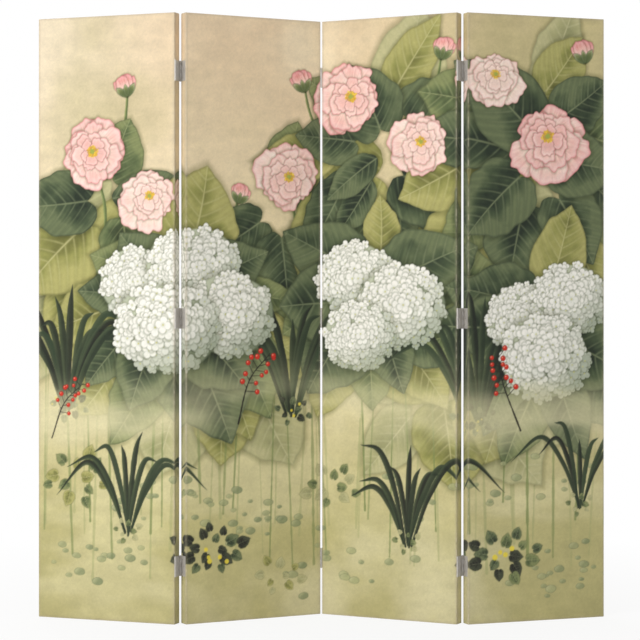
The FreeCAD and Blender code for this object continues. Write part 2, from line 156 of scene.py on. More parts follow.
# A blossom's colours, where it is pale and where it is rosy.
PETAL_FOOT = ((0.95, 0.92, 0.85), (0.95, 0.86, 0.80))
PETAL_TIP = ((0.94, 0.86, 0.79), (0.89, 0.60, 0.57))
PETAL_EDGE = ((0.80, 0.60, 0.54), (0.74, 0.34, 0.36))
PETAL_BLUSH = (0.88, 0.55, 0.54)
PETAL_GLOW = (0.97, 0.91, 0.85)
STAMEN_RING = (0.74, 0.58, 0.22)
STAMEN_HEART = (0.62, 0.66, 0.30)
STAMEN_TIPS = ((0.95, 0.84, 0.30), (0.80, 0.60, 0.18))
STAMENS = 42

# A bud's colours: its petals' feet, tips and rims, and the same of its cup.
BUD_TONES = ((0.93, 0.78, 0.72), (0.86, 0.50, 0.49), (0.70, 0.34, 0.35))
CUP_TONES = ((0.36, 0.41, 0.25), (0.56, 0.58, 0.37), (0.30, 0.35, 0.22))

# A white flower head's ground, lit and in the shade, and its small flowers.
HEAD_GROUND = ((0.74, 0.76, 0.66), (0.46, 0.50, 0.40))
FLORET_TONES = ((0.63, 0.66, 0.58), (0.945, 0.935, 0.90))
FLORET_MIDDLE = (0.66, 0.70, 0.62)
FLORET_RIM = (0.62, 0.64, 0.58)
FLORET_HEART = (0.78, 0.76, 0.45)
FLORETS = 150
HEAD_FLAT_SHARE = 0.86

# Stems, mist, blades, stalks, berries and pebbles.
FAR_STEM = (0.62, 0.63, 0.43)
NEAR_STEM = (0.47, 0.52, 0.31)
BACK_STEM = (0.60, 0.61, 0.43)
MIST = (0.86, 0.83, 0.67)
BACK_MIST = (0.85, 0.82, 0.67)
BLADE_DARK = ((0.10, 0.11, 0.09), (0.20, 0.26, 0.18))
BLADE_LIGHT = ((0.22, 0.25, 0.19), (0.42, 0.50, 0.32))
BLADE_SPREAD = 1.1
STALK_TONES = ((0.36, 0.42, 0.25), (0.60, 0.64, 0.40))
BERRY_RIM = (0.50, 0.10, 0.08)
BERRY_RED = (0.80, 0.20, 0.14)
BERRY_GLINT = (0.96, 0.72, 0.60)
BERRIES = 13
YELLOW = (0.88, 0.80, 0.28)
PEBBLE_TONES = ((0.45, 0.50, 0.36), (0.64, 0.65, 0.47))
PEBBLE_LIGHT = (0.80, 0.79, 0.62)
PEBBLE_RIM = (0.33, 0.37, 0.26)
PEBBLE_FLAT_SHARE = 0.62

# The ground's tones from the foot up, and how high each lies.
WASH_DRIFT_SHARE = 0.14
WASH_HEIGHT_SHARES = (0.0, 0.15, 0.32, 0.52, 0.76, 1.0)
WASH_TONES = (
    (0.69, 0.66, 0.46),
    (0.73, 0.70, 0.49),
    (0.80, 0.76, 0.57),
    (0.86, 0.80, 0.63),
    (0.86, 0.79, 0.65),
    (0.86, 0.77, 0.64),
)
WASH_CORNER = (0.90, 0.855, 0.755)
WASH_GREEN = (0.74, 0.71, 0.49)
WASH_LIGHT = (0.93, 0.90, 0.79)
WASH_STAIN = (0.60, 0.58, 0.38)
WASH_MIST = (0.86, 0.83, 0.66)

# Outlines as angle from the tip, in shares of half a turn, and distance from the middle.
HEART_LEAF_SHARES = (
    (0.0, 0.05, 0.13, 0.24, 0.37, 0.5, 0.62, 0.74, 0.85, 0.93, 0.97, 1.0),
    (0.64, 0.56, 0.49, 0.44, 0.41, 0.405, 0.42, 0.445, 0.445, 0.41, 0.36, 0.31),
)
LONG_LEAF_SHARES = (
    (0.0, 0.05, 0.13, 0.24, 0.37, 0.5, 0.62, 0.74, 0.85, 0.93, 1.0),
    (0.62, 0.52, 0.42, 0.345, 0.30, 0.285, 0.295, 0.33, 0.38, 0.41, 0.42),
)
FAN_PETAL_SHARES = (
    (0.0, 0.07, 0.15, 0.24, 0.34, 0.45, 0.57, 0.7, 0.82, 0.92, 1.0),
    (0.46, 0.48, 0.50, 0.50, 0.47, 0.42, 0.385, 0.375, 0.40, 0.46, 0.50),
)
POINTED_PETAL_SHARES = (
    (0.0, 0.04, 0.1, 0.18, 0.3, 0.45, 0.6, 0.75, 0.88, 1.0),
    (0.56, 0.50, 0.44, 0.39, 0.33, 0.29, 0.29, 0.34, 0.43, 0.50),
)

# Rings of a blossom's petals from the outside in: number, reach, breadth and where the first points.
PETAL_RING_SHARES = ((7, 1.0, 1.02, 0.0), (7, 0.80, 0.92, 0.45), (6, 0.58, 0.92, 0.2), (5, 0.40, 0.98, 0.6))

# How far a bud's petals and the leaves of its cup lean to the side, in radians.
BUD_LEANS = (-0.42, 0.42, -0.15, 0.18)
CUP_LEANS = (-0.75, 0.75, 0.0)

# Successive turns round a flower or bush differ by this share of a whole turn.
GOLDEN_SHARE = 0.618034

# Places as shares of the picture's width and height. Lengths and radii are shares of its height, and
# the ways that things point are in radians, from the right round to the top.
# Bushes: half width, half height, and how many leaves.
FAR_BUSH_SHARES = (
    (0.07, 0.60, 0.07, 0.08, 7), (0.46, 0.60, 0.07, 0.09, 7), (0.64, 0.72, 0.14, 0.13, 13),
    (0.88, 0.68, 0.13, 0.20, 16), (0.33, 0.43, 0.10, 0.07, 7), (0.74, 0.40, 0.10, 0.09, 8),
)
NEAR_BUSH_SHARES = (
    (0.13, 0.69, 0.060, 0.050, 6, ("fresh", "green", "deep")),
    (0.43, 0.655, 0.060, 0.060, 7, ("green", "deep")),
    (0.62, 0.765, 0.110, 0.110, 18, LUSH),
    (0.88, 0.740, 0.110, 0.140, 19, LUSH),
    (0.245, 0.505, 0.120, 0.095, 17, LUSH),
    (0.605, 0.520, 0.085, 0.085, 13, LUSH),
    (0.895, 0.465, 0.090, 0.095, 14, LUSH),
)
BACK_BUSH_SHARES = (
    (0.13, 0.40, 0.055, 0.055, 15), (0.47, 0.345, 0.040, 0.040, 10), (0.86, 0.43, 0.060, 0.065, 17),
)
# White flower heads: radius.
HEAD_SHARES = (
    (0.180, 0.560, 0.066), (0.275, 0.585, 0.074), (0.330, 0.505, 0.080), (0.225, 0.485, 0.084),
    (0.565, 0.565, 0.072), (0.650, 0.520, 0.080), (0.570, 0.470, 0.066),
    (0.850, 0.500, 0.066), (0.935, 0.530, 0.070), (0.890, 0.435, 0.082),
)
# Pink blossoms: radius, and how rosy.
BLOSSOM_SHARES = (
    (0.100, 0.775, 0.070, 0.9), (0.205, 0.700, 0.056, 0.5), (0.440, 0.735, 0.064, 0.7),
    (0.555, 0.870, 0.072, 0.9), (0.685, 0.790, 0.062, 0.6), (0.895, 0.800, 0.074, 1.0),
    (0.800, 0.900, 0.054, 0.4),
)
# Buds: length, and the way it points.
BUD_SHARES = (
    (0.165, 0.865, 0.040, 1.8), (0.345, 0.690, 0.036, 1.3), (0.470, 0.880, 0.040, 1.9),
    (0.722, 0.925, 0.040, 1.3), (0.965, 0.925, 0.042, 1.8),
)
# Stalks: the place of the foot.
STALK_SHARES = (
    (0.165, 0.870, 0.150, 0.66), (0.100, 0.775, 0.125, 0.62), (0.205, 0.700, 0.190, 0.55),
    (0.345, 0.700, 0.310, 0.52), (0.470, 0.885, 0.500, 0.72), (0.440, 0.735, 0.455, 0.58),
    (0.722, 0.930, 0.705, 0.80), (0.965, 0.930, 0.950, 0.80),
)
# Tufts of blades: length, and how many.
HIGH_BLADE_SHARES = ((0.055, 0.355, 0.22, 12), (0.445, 0.345, 0.22, 11), (0.770, 0.335, 0.20, 10))
LOW_BLADE_SHARES = ((0.165, 0.15, 0.17, 8), (0.660, 0.13, 0.18, 9), (0.955, 0.19, 0.15, 7))
BACK_BLADE_SHARES = ((0.270, 0.14, 0.17, 8), (0.640, 0.17, 0.15, 7), (0.930, 0.12, 0.16, 8))
# Twigs of berries: length, and the way it points.
TWIG_SHARES = ((0.345, 0.325, 0.13, 1.1), (0.845, 0.315, 0.13, 1.9), (0.025, 0.300, 0.11, 1.0))
# Low plants: radius, and how many leaves.
LOW_PLANT_SHARES = (
    (0.300, 0.120, 0.050, 16, ("ink", "ink", "deep")), (0.070, 0.235, 0.055, 12, ("fresh", "green")),
    (0.520, 0.215, 0.045, 11, ("green", "far")), (0.815, 0.110, 0.055, 14, ("ink", "deep", "green")),
    (0.420, 0.070, 0.040, 9, ("far", "fresh")),
)
PEBBLE_GROUP_SHARES = (
    (0.10, 0.10), (0.24, 0.20), (0.40, 0.17), (0.55, 0.09), (0.72, 0.22), (0.86, 0.24), (0.93, 0.08),
)

# Smooth random values. The table is the same in every run, and & LAST_CELL wraps a number round it.
RANDOM_TABLE = np.random.default_rng(11).random((256, 256)).astype(np.float32)
LAST_CELL = 255
SHIFT_CELLS = (57.31, 23.97)


def ramp(value, low, high):
    """0 below low and 1 above high, with a smooth rise between them."""
    share = np.clip((value - low) / (high - low), 0, 1)
    return share * share * (3 - 2 * share)


def noise(x, z, size, shift=0.0):
    """Smooth random values from 0 to 1 that change over about size."""
    u = x / size + SHIFT_CELLS[0] * shift
    v = z / size + SHIFT_CELLS[1] * shift
    column = np.floor(u).astype(np.int64)
    row = np.floor(v).astype(np.int64)
    across = ramp(u - column, 0, 1)
    up = ramp(v - row, 0, 1)
    left, right = column & LAST_CELL, (column + 1) & LAST_CELL
    low, high = row & LAST_CELL, (row + 1) & LAST_CELL
    bottom = RANDOM_TABLE[low, left] * (1 - across) + RANDOM_TABLE[low, right] * across
    top = RANDOM_TABLE[high, left] * (1 - across) + RANDOM_TABLE[high, right] * across
    return bottom * (1 - up) + top * up


def clouds(x, z, size, octaves=4, shift=0.0):
    """Noise with finer and fainter noise added, about 0.5 on average."""
    total, weights = 0.0, 0.0
    for octave in range(octaves):
        weight = 0.5 ** octave
        total = total + weight * noise(x, z, size * weight, shift + octave)
        weights += weight
    return total / weights


def mixed(first, second, share):
    """Colours that go from first to second with share, an array or a number."""
    first = np.asarray(first, np.float32)
    return first + (np.asarray(second, np.float32) - first) * np.asarray(share, np.float32)[..., None]


class Picture:
    """A painted surface as display colours from 0 to 1, its first row at the bottom."""

    def __init__(self, width, height, step):
        self.width, self.height, self.step = width, height, step
        self.columns, self.rows = round(width / step), round(height / step)
        self.x = ((np.arange(self.columns) + 0.5) * step).astype(np.float32)
        self.z = ((np.arange(self.rows) + 0.5) * step).astype(np.float32)
        self.colour = np.zeros((self.rows, self.columns, 3), np.float32)

    def everywhere(self):
        """The x and z of every dot."""
        return np.meshgrid(self.x, self.z)

    def patch(self, x, z, reach):
        """The dots within reach of a point, as rows and columns, and their x and z from it."""
        left, right = np.searchsorted(self.x, (x - reach, x + reach))
        low, high = np.searchsorted(self.z, (z - reach, z + reach))
        across, up = np.meshgrid(self.x[left:right] - x, self.z[low:high] - z)
        near = across * across + up * up < reach * reach
        rows, columns = np.nonzero(near)
        return (rows + low, columns + left), across[near], up[near]

    def lay(self, dots, colour, cover):
        """Lays a colour over some dots, as thickly as cover says."""
        under = self.colour[dots]
        cover = np.asarray(cover, np.float32)[..., None]
        self.colour[dots] = under + cover * (np.asarray(colour, np.float32) - under)

    def darken(self, dots, cover):
        """Shades some dots with a see-through grey green, as a glaze does."""
        stain = np.asarray(cover, np.float32)[..., None] * (1 - np.asarray(SHADE, np.float32))
        self.colour[dots] *= 1 - stain

    def rim(self, out, reach):
        """How much of each dot is inside an outline: out is 1 at the outline, reach away."""
        return np.clip((1 - out) * reach / self.step + 0.5, 0, 1)


def turned(across, up, turn):
    """Coordinates along and across a direction, which is turn round from the x axis."""
    along = across * math.cos(turn) + up * math.sin(turn)
    aside = up * math.cos(turn) - across * math.sin(turn)
    return along, aside


def off_by(x, z, distance, turn, flat_share=1.0):
    """The place at a distance from x, z along turn. flat_share lowers its height."""
    return x + distance * math.cos(turn), z + flat_share * distance * math.sin(turn)


def trimmed(keep, dots, *values):
    """Only the dots to keep, and their values."""
    return ((dots[0][keep], dots[1][keep]), *(value[keep] for value in values))


def in_outline(along, aside, outline, length, wobble, shift):
    """How far out each dot is, 1 at the outline, and the outline's distance there."""
    angle = np.arctan2(aside, along)
    reach = np.interp(np.abs(angle) / math.pi, *outline) * length
    reach = reach * (1 + wobble * (2 * noise(np.cos(angle) + 2, np.sin(angle) + 2, 0.31, shift) - 1))
    return np.hypot(along, aside) / reach, reach


def paint_leaf(picture, x, z, length, turn, tone, shape, breadth, veins, cover, shift):
    """A veined leaf whose stalk meets it at x, z and whose tip points along turn."""
    dark, middle, light, vein = LEAF_TONES[tone]
    heart = 0.36 * length
    dots, across, up = picture.patch(*off_by(x, z, heart, turn), 0.72 * length)
    along, aside = turned(across, up, turn)
    bend = 0.12 * math.sin(7 * shift) / length
    aside = aside / breadth - bend * along * along
    out, reach = in_outline(along, aside, shape, length, 0.055, shift)
    kept = trimmed(out < 1.16, dots, across, up, along, aside, out, reach)
    dots, across, up, along, aside, out, reach = kept
    picture.darken(dots, 0.36 * cover * ramp(-out, -1.16, -0.97))
    kept = trimmed(out < 1.03, dots, across, up, along, aside, out, reach)
    dots, across, up, along, aside, out, reach = kept
    side = np.abs(aside) / length
    from_foot = along / length + 0.36
    rank = (from_foot - 0.62 * side - 0.9 * side * side) * veins + 0.3
    mottle = clouds(across + x, up + z, 0.26 * length, 4, shift)
    streak = noise(rank * 1.7, side * 4.0, 0.5, shift + 2)
    depth = 0.60 * np.exp(-side / 0.19) + 0.55 * ramp(-from_foot, -0.75, 0.15) + 1.5 * (mottle - 0.5)
    depth = depth + np.where(aside > 0, -0.13, 0.13) + 0.30 * (streak - 0.5) - 0.50 * ramp(out, 0.55, 1.0)
    colour = mixed(light, middle, np.clip(depth * 2, 0, 1))
    colour = mixed(colour, dark, np.clip(depth * 2 - 1, 0, 1))
    beside = np.abs(rank - np.round(rank)) / veins * length * 0.8
    groove = np.exp(-((beside / (0.008 * length + 0.35 * picture.step)) ** 2)) * ramp(-side, -0.40, -0.02)
    fine = np.exp(-((beside / (0.040 * length)) ** 2))
    rib_width = 0.010 * length * (1.15 - np.clip(from_foot, 0, 1)) + 0.4 * picture.step
    rib = np.exp(-((side * length / rib_width) ** 2))
    colour = mixed(colour, dark, 0.20 * fine)
    colour = mixed(colour, vein, np.maximum(0.45 * groove, 0.75 * rib))
    rim = ramp(out, 1 - 0.014 * length / reach - 0.03, 1.0)
    colour = mixed(colour, 0.8 * np.asarray(dark), 0.42 * rim * (0.4 + mottle))
    picture.lay(dots, colour, cover * picture.rim(out, reach))


def paint_petal(picture, x, z, length, turn, tones, outline, breadth, frill, shift):
    """A petal whose foot is at x, z. Its tones are those of its foot, its tip and its rim."""
    foot, tip, edge = tones
    dots, across, up = picture.patch(*off_by(x, z, 0.5 * length, turn), 0.7 * length * max(1, breadth))
    along, aside = turned(across, up, turn)
    aside = aside / breadth
    out, reach = in_outline(along, aside, outline, length, frill, shift)
    picture.darken(dots, 0.34 * ramp(-out, -1.22, -0.96))
    from_foot = np.clip(along / length + 0.5, 0, 1)
    angle_in = np.arctan2(aside, along + 0.55 * length)
    streak = noise(angle_in * 9 + 5, from_foot * 0.6, 0.25, shift)
    colour = mixed(foot, tip, ramp(from_foot + 0.30 * (streak - 0.5), 0.38, 1.05))
    colour = mixed(colour, WHITE, 0.26 * ramp(out, 0.50, 0.86) * from_foot)
    colour = mixed(colour, edge, 0.30 * ramp(out, 0.84, 1.0) * from_foot)
    colour = mixed(colour, edge, 0.55 * ramp(out, 1 - 1.6 * picture.step / reach - 0.012, 1.0))
    colour = colour * (1 - 0.12 * ramp(streak, 0.50, 0.9) * (1 - from_foot))[..., None]
    picture.lay(dots, colour, picture.rim(out, reach))


def smooth_line(points, count):
    """A smooth line of count points through the given ones."""
    points = np.asarray(points, float)
    ends = np.vstack([2 * points[0] - points[1], points, 2 * points[-1] - points[-2]])
    place = np.linspace(0, len(points) - 1 - 1e-6, count)
    first = place.astype(int)
    t = (place - first)[:, None]
    a, b, c, d = (ends[first + step] for step in range(4))
    square = (2 * a - 5 * b + 4 * c - d) * t ** 2
    return 0.5 * (2 * b + (c - a) * t + square + (3 * b - a - 3 * c + d) * t ** 3)


def paint_stroke(picture, points, width, colour, light, taper, belly, cover, rough=0.0, shift=0.0):
    """A brush stroke along a smooth line, lit on one side if light is a colour. taper is its width at
    the start and end, as shares, and belly what is added half way."""
    points = np.asarray(points, float)
    long = np.hypot(*np.diff(points, axis=0).T).sum()
    thinnest = 0.5 * width * min(taper)
    count = max(8, int(long / max(0.5 * thinnest, 0.7 * picture.step)))
    line = smooth_line(points, count)
    low, high = line.min(axis=0) - width, line.max(axis=0) + width
    left, right = np.searchsorted(picture.x, (low[0], high[0]))
    bottom, top = np.searchsorted(picture.z, (low[1], high[1]))
    if right <= left or top <= bottom:
        return
    inside = np.zeros((top - bottom, right - left), np.float32)
    side = np.zeros_like(inside)
    x, z = picture.x[left:right], picture.z[bottom:top]
    ahead = np.gradient(line, axis=0)
    ahead /= np.maximum(np.hypot(*ahead.T), 1e-9)[:, None]
    for i, (at_x, at_z) in enumerate(line):
        share = i / (count - 1)
        half = 0.5 * width * (taper[0] + (taper[1] - taper[0]) * share + belly * math.sin(math.pi * share))
        if rough:
            half *= 1 + rough * (2 * float(noise(at_x, at_z, 2.2 * width, shift)) - 1)
        half = max(half, 0.3 * picture.step)
        reach = half + picture.step
        west, east = np.searchsorted(x, (at_x - reach, at_x + reach))
        south, north = np.searchsorted(z, (at_z - reach, at_z + reach))
        if east <= west or north <= south:
            continue
        window = (slice(south, north), slice(west, east))
        across, up = np.meshgrid(x[west:east] - at_x, z[south:north] - at_z)
        here = np.clip((half - np.hypot(across, up)) / picture.step + 0.5, 0, 1)
        better = here > inside[window]
        inside[window] = np.where(better, here, inside[window])
        across_line = (up * ahead[i, 0] - across * ahead[i, 1]) / max(half, picture.step)
        side[window] = np.where(better, across_line, side[window])
    if light is not None:
        colour = mixed(colour, light, ramp(side, -0.3, 0.9) * 0.8)
    picture.lay((slice(bottom, top), slice(left, right)), colour, inside * cover)


def paint_dot(picture, x, z, radius, colour, cover, soft=0.0):
    """A round dot, with a soft rim where soft is above 0."""
    dots, across, up = picture.patch(x, z, radius * (1 + soft) + 2 * picture.step)
    out = np.hypot(across, up) / radius
    inside = ramp(-out, -1 - soft, -1 + soft) if soft else picture.rim(out, radius)
    picture.lay(dots, colour, inside * cover)


def paint_peony(picture, x, z, radius, shift, rose):
    """A loose blossom seen from in front: wide pale petals with rosy rims round yellow stamens."""
    rng = np.random.default_rng(int(1000 * shift) + 5)
    base, tip, edge = (mixed(*tones, rose) for tones in (PETAL_FOOT, PETAL_TIP, PETAL_EDGE))
    lean = 2 * math.pi * rng.random()
    for ring, (count, reach, breadth, start) in enumerate(PETAL_RING_SHARES):
        turns = [2 * math.pi * (k + start + 0.34 * rng.random()) / count for k in range(count)]
        for k, turn in sorted(enumerate(turns), key=lambda item: -math.sin(item[1])):
            flat = 1 - 0.20 * max(0, math.sin(turn)) - 0.06 * abs(math.cos(turn))
            flat = flat + 0.12 * math.cos(turn - lean)
            length = radius * reach * flat * (0.86 + 0.26 * rng.random())
            foot = mixed(base, PETAL_BLUSH, 0.16 * ring * rose)
            end = mixed(tip, PETAL_GLOW, 0.40 * rng.random() + 0.08 * ring)
            wide = breadth * (0.88 + 0.30 * rng.random())
            tones = (foot, end, edge)
            paint_petal(
                picture, x, z, length, turn, tones, FAN_PETAL_SHARES, wide, 0.16, shift + 0.37 * k + ring,
            )
    paint_stamens(picture, x, z + 0.02 * radius, 0.15 * radius, rng)


def paint_stamens(picture, x, z, radius, rng):
    """Small yellow dots round a green middle."""
    paint_dot(picture, x, z, 0.85 * radius, STAMEN_RING, 0.75)
    paint_dot(picture, x, z, 0.42 * radius, STAMEN_HEART, 0.95)
    for _ in range(STAMENS):
        turn, out = 2 * math.pi * rng.random(), radius * (0.45 + 0.65 * rng.random() ** 0.7)
        place = off_by(x, z, out, turn, 0.85)
        colour = mixed(*STAMEN_TIPS, rng.random())
        paint_dot(picture, *place, radius * (0.09 + 0.06 * rng.random()), colour, 1.0)


def paint_bud(picture, x, z, length, turn, shift):
    """A round closed bud in its green cup, with its stalk end at x, z."""
    for lean in BUD_LEANS:
        long = length * (1 - 0.25 * abs(lean))
        paint_petal(picture, x, z, long, turn + lean, BUD_TONES, FAN_PETAL_SHARES, 0.70, 0.08, shift + lean)
    for lean in CUP_LEANS:
        long, aim = length * (0.50 + 0.15 * abs(lean)), turn + lean
        paint_petal(picture, x, z, long, aim, CUP_TONES, POINTED_PETAL_SHARES, 0.8, 0.04, shift + lean)


def paint_flower_head(picture, x, z, radius, shift):
    """A ball of small four-petalled white flowers, lit from the upper left."""
    rng = np.random.default_rng(int(1000 * shift) + 17)
    dots, across, up = picture.patch(x, z, 1.25 * radius)
    out = np.hypot(across, up / HEAD_FLAT_SHARE) / radius
    out = out * (1 + 0.10 * (noise(across, up, 0.5 * radius, shift) - 0.5))
    picture.darken(dots, 0.55 * ramp(-out, -1.2, -0.86))
    shaded = mixed(*HEAD_GROUND, ramp(across / radius - up / radius, -0.9, 1.3))
    picture.lay(dots, shaded, ramp(-out, -1.0, -0.93))
    places = []
    for i in range(FLORETS):
        ring = min(1.0, math.sqrt((FLORETS - i - 0.5) / FLORETS) + 0.05 * (rng.random() - 0.5))
        turn = 2 * math.pi * GOLDEN_SHARE * i + 0.7 * (rng.random() - 0.5)
        places.append((ring * math.cos(turn), ring * math.sin(turn), math.sqrt(max(0.0, 1 - ring * ring))))
    for out_x, out_z, lean in places:
        lit = 0.42 - 0.34 * out_x + 0.46 * out_z + 0.36 * lean + 0.22 * (rng.random() - 0.5)
        spin = 2 * math.pi * rng.random()
        floret = 0.125 * radius * (0.80 + 0.45 * rng.random()) * (0.72 + 0.38 * lean)
        place = (x + out_x * radius, z + out_z * radius * HEAD_FLAT_SHARE)
        paint_floret(picture, *place, floret, spin, float(np.clip(lit, 0, 1)))


def paint_floret(picture, x, z, radius, spin, lit):
    """One small flower of four rounded petals."""
    dots, across, up = picture.patch(x, z, 1.5 * radius)
    along, aside = turned(across, up, spin)
    petal = np.abs(np.cos(2 * np.arctan2(aside, along)))
    reach = radius * (0.60 + 0.50 * petal ** 0.65)
    out = np.hypot(along, aside) / reach
    picture.darken(dots, 0.30 * ramp(-out, -1.35, -0.95))
    colour = mixed(mixed(*FLORET_TONES, ramp(lit, 0.0, 0.85)), FLORET_MIDDLE, 0.40 * ramp(-out, -0.55, 0.0))
    colour = mixed(colour, FLORET_RIM, 0.45 * ramp(out, 0.86, 1.0) + 0.25 * ramp(-petal, -0.35, 0.0))
    picture.lay(dots, colour, picture.rim(out, reach))
    paint_dot(picture, x, z, 0.13 * radius, FLORET_HEART, 0.8)


def paint_blades(picture, x, z, length, count, shift):
    """A tuft of long narrow leaves in ink that arch out from x, z."""
    rng = np.random.default_rng(int(1000 * shift) + 29)
    for i in range(count):
        lean = BLADE_SPREAD * (2 * (i + 0.5) / count - 1) + 0.15 * (rng.random() - 0.5)
        long = length * (0.7 + 0.5 * rng.random())
        droop = 0.30 + 0.35 * rng.random()
        foot_x = x + 0.04 * length * (rng.random() - 0.5) + 0.03 * length * lean
        side = math.sin(lean)
        points = [
            (foot_x, z - 0.05 * length * rng.random()),
            (foot_x + 0.22 * long * side, z + 0.42 * long),
            (foot_x + 0.52 * long * side, z + (0.78 - 0.12 * abs(side)) * long),
            (foot_x + 0.92 * long * side, z + (0.98 - droop * abs(side) * 1.3) * long),
        ]
        dark = mixed(*BLADE_DARK, rng.random())
        light = mixed(*BLADE_LIGHT, 0.4 * rng.random())
        paint_stroke(picture, points, 0.055 * length, dark, light, (0.35, 0.05), 0.85, 0.92, 0.10, shift + i)


def paint_berries(picture, x, z, length, turn, shift):
    """A dark twig with red berries on short stalks."""
    rng = np.random.default_rng(int(1000 * shift) + 41)
    end = off_by(x, z, length, turn)
    middle = (0.5 * (x + end[0]) - 0.08 * length * math.sin(turn), 0.5 * (z + end[1]) + 0.10 * length)
    twig = [(x, z), middle, end]
    paint_stroke(picture, twig, 0.022 * length, INK, None, (1.0, 0.4), 0.0, 0.9, 0.3, shift)
    for i in range(BERRIES):
        share = 0.35 + 0.65 * (i + 0.5) / BERRIES
        at = smooth_line(twig, 50)[int(49 * share)]
        lean = turn + (1.3 if i % 2 else -1.3) * (1 - 0.35 * rng.random())
        stalk = length * (0.07 + 0.10 * rng.random())
        berry = off_by(*at, stalk, lean)
        paint_stroke(picture, [tuple(at), berry], 0.010 * length, INK, None, (1.0, 0.8), 0.0, 0.85)
        radius = length * (0.026 + 0.010 * rng.random())
        glint = (berry[0] - 0.3 * radius, berry[1] + 0.35 * radius)
        paint_dot(picture, *berry, radius * 1.08, BERRY_RIM, 0.9)
        paint_dot(picture, *berry, radius * 0.92, BERRY_RED, 0.95)
        paint_dot(picture, *glint, 0.30 * radius, BERRY_GLINT, 0.8, 0.5)


def paint_wash(picture, seed):
    """The ground: warm cream above, olive below, with the uneven stains of a wash on cloth."""
    x, z = picture.everywhere()
    up = z / picture.height
    along = x / picture.width
    drift = up + WASH_DRIFT_SHARE * (clouds(x, z, 0.5 * picture.height, 3, seed) - 0.5)
    bands = [np.interp(drift, WASH_HEIGHT_SHARES, tone) for tone in zip(*WASH_TONES)]
    corner = ramp(-along, -0.34, 0.0) * ramp(up, 0.6, 1.0)
    ground = mixed(np.stack(bands, axis=-1), WASH_CORNER, 0.70 * corner)
    ground = mixed(ground, WASH_GREEN, 0.60 * ramp(along, 0.40, 1.0) * ramp(up, 0.40, 0.85))
    light = clouds(x, z, 0.23 * picture.height, 5, seed + 2)
    ground = mixed(ground, WASH_LIGHT, 0.45 * ramp(light, 0.50, 0.80))
    ground = mixed(ground, WASH_STAIN, 0.32 * ramp(-light, -0.48, -0.18))
    mist = ramp(clouds(0.35 * x, z, 0.09 * picture.height, 4, seed + 5), 0.48, 0.75)
    ground = mixed(ground, WASH_MIST, 0.50 * mist * ramp(-up, -0.55, -0.25))
    fine = clouds(x, z, 0.016 * picture.height, 3, seed + 9)
    picture.colour[:] = ground * (1 + 0.07 * (fine - 0.5))[..., None]


def golden_turn(number):
    """The direction of the numbered leaf or flower, so that they spread evenly round a middle."""
    return 2 * math.pi * ((number * GOLDEN_SHARE) % 1)


def paint_bush(picture, x, z, wide, tall, count, length, tones, seed):
    """Overlapping leaves that point out from the middle of a bush, its far ones first."""
    rng = np.random.default_rng(seed)
    for i in range(count):
        turn = golden_turn(i)
        out = math.sqrt((count - i - 0.5 * rng.random()) / count)
        foot = (x + wide * out * math.cos(turn), z + tall * out * math.sin(turn))
        aim = math.atan2(0.8 * math.sin(turn) - 0.55, math.cos(turn)) + 0.7 * (rng.random() - 0.5)
        tone = tones[min(len(tones) - 1, int(len(tones) * i / count))]
        shape = HEART_LEAF_SHARES if rng.random() < 0.7 else LONG_LEAF_SHARES
        long = length * (0.75 + 0.45 * rng.random())
        breadth = 0.85 + 0.3 * rng.random()
        paint_leaf(picture, *foot, long, aim, tone, shape, breadth, 8, 1.0, seed + 0.37 * i)


def paint_stems(picture, seed, count, low, high, colour, width, cover):
    """Thin stalks that stand side by side between two heights, given as shares."""
    rng = np.random.default_rng(seed)
    for i in range(count):
        x = picture.width * (i + rng.random()) / count
        foot = picture.height * (low + 0.12 * (rng.random() - 0.3))
        top = picture.height * (high + 0.16 * (rng.random() - 0.5))
        sway = 0.014 * picture.width * (rng.random() - 0.5)
        points = [(x, foot), (x + sway, 0.5 * (foot + top)), (x + 2.2 * sway, top)]
        thick = width * (0.7 + 0.7 * rng.random())
        strength = cover * (0.6 + 0.4 * rng.random())
        paint_stroke(picture, points, thick, colour, None, (0.8, 0.6), 0.1, strength, 0.35, seed + i)


def paint_ground_cover(picture, x, z, wide, count, seed, tones):
    """A low patch of small round leaves, with a few yellow flowers where it is dark."""
    rng = np.random.default_rng(seed)
    for i in range(count):
        turn = golden_turn(i)
        out = wide * math.sqrt((i + 0.5) / count)
        long = wide * (0.30 + 0.20 * rng.random())
        foot = off_by(x, z, out, turn, 0.62)
        aim = turn + 0.8 * (rng.random() - 0.5)
        tone = tones[i % len(tones)]
        paint_leaf(picture, *foot, long, aim, tone, HEART_LEAF_SHARES, 1.05, 5, 0.92, seed + 0.41 * i)
    for _ in range(count // 3 if "ink" in tones else 0):
        turn, out = 2 * math.pi * rng.random(), wide * rng.random()
        place = off_by(x, z, out, turn, 0.6)
        paint_dot(picture, *place, 0.045 * wide * (1 + rng.random()), YELLOW, 0.95)


def paint_pebbles(picture, count, seed):
    """Small pale pads and pebbles that lie about in groups."""
    rng = np.random.default_rng(seed)
    for i in range(count):
        group = PEBBLE_GROUP_SHARES[rng.integers(0, len(PEBBLE_GROUP_SHARES))]
        x = picture.width * (group[0] + 0.055 * rng.normal())
        z = picture.height * (group[1] + 0.022 * rng.normal())
        radius = picture.height * (0.0045 + 0.0060 * rng.random())
        dots, across, up = picture.patch(x, z, 1.6 * radius)
        out = np.hypot(across, up / PEBBLE_FLAT_SHARE) / radius
        out = out / (1 + 0.2 * (noise(across, up, radius, i) - 0.5))
        tone = mixed(*PEBBLE_TONES, rng.random())
        colour = mixed(tone, PEBBLE_LIGHT, 0.5 * ramp(up / radius - across / radius, -0.2, 1.0))
        colour = mixed(colour, PEBBLE_RIM, 0.6 * ramp(out, 0.78, 1.0))
        picture.lay(dots, colour, 0.75 * picture.rim(out, PEBBLE_FLAT_SHARE * radius))


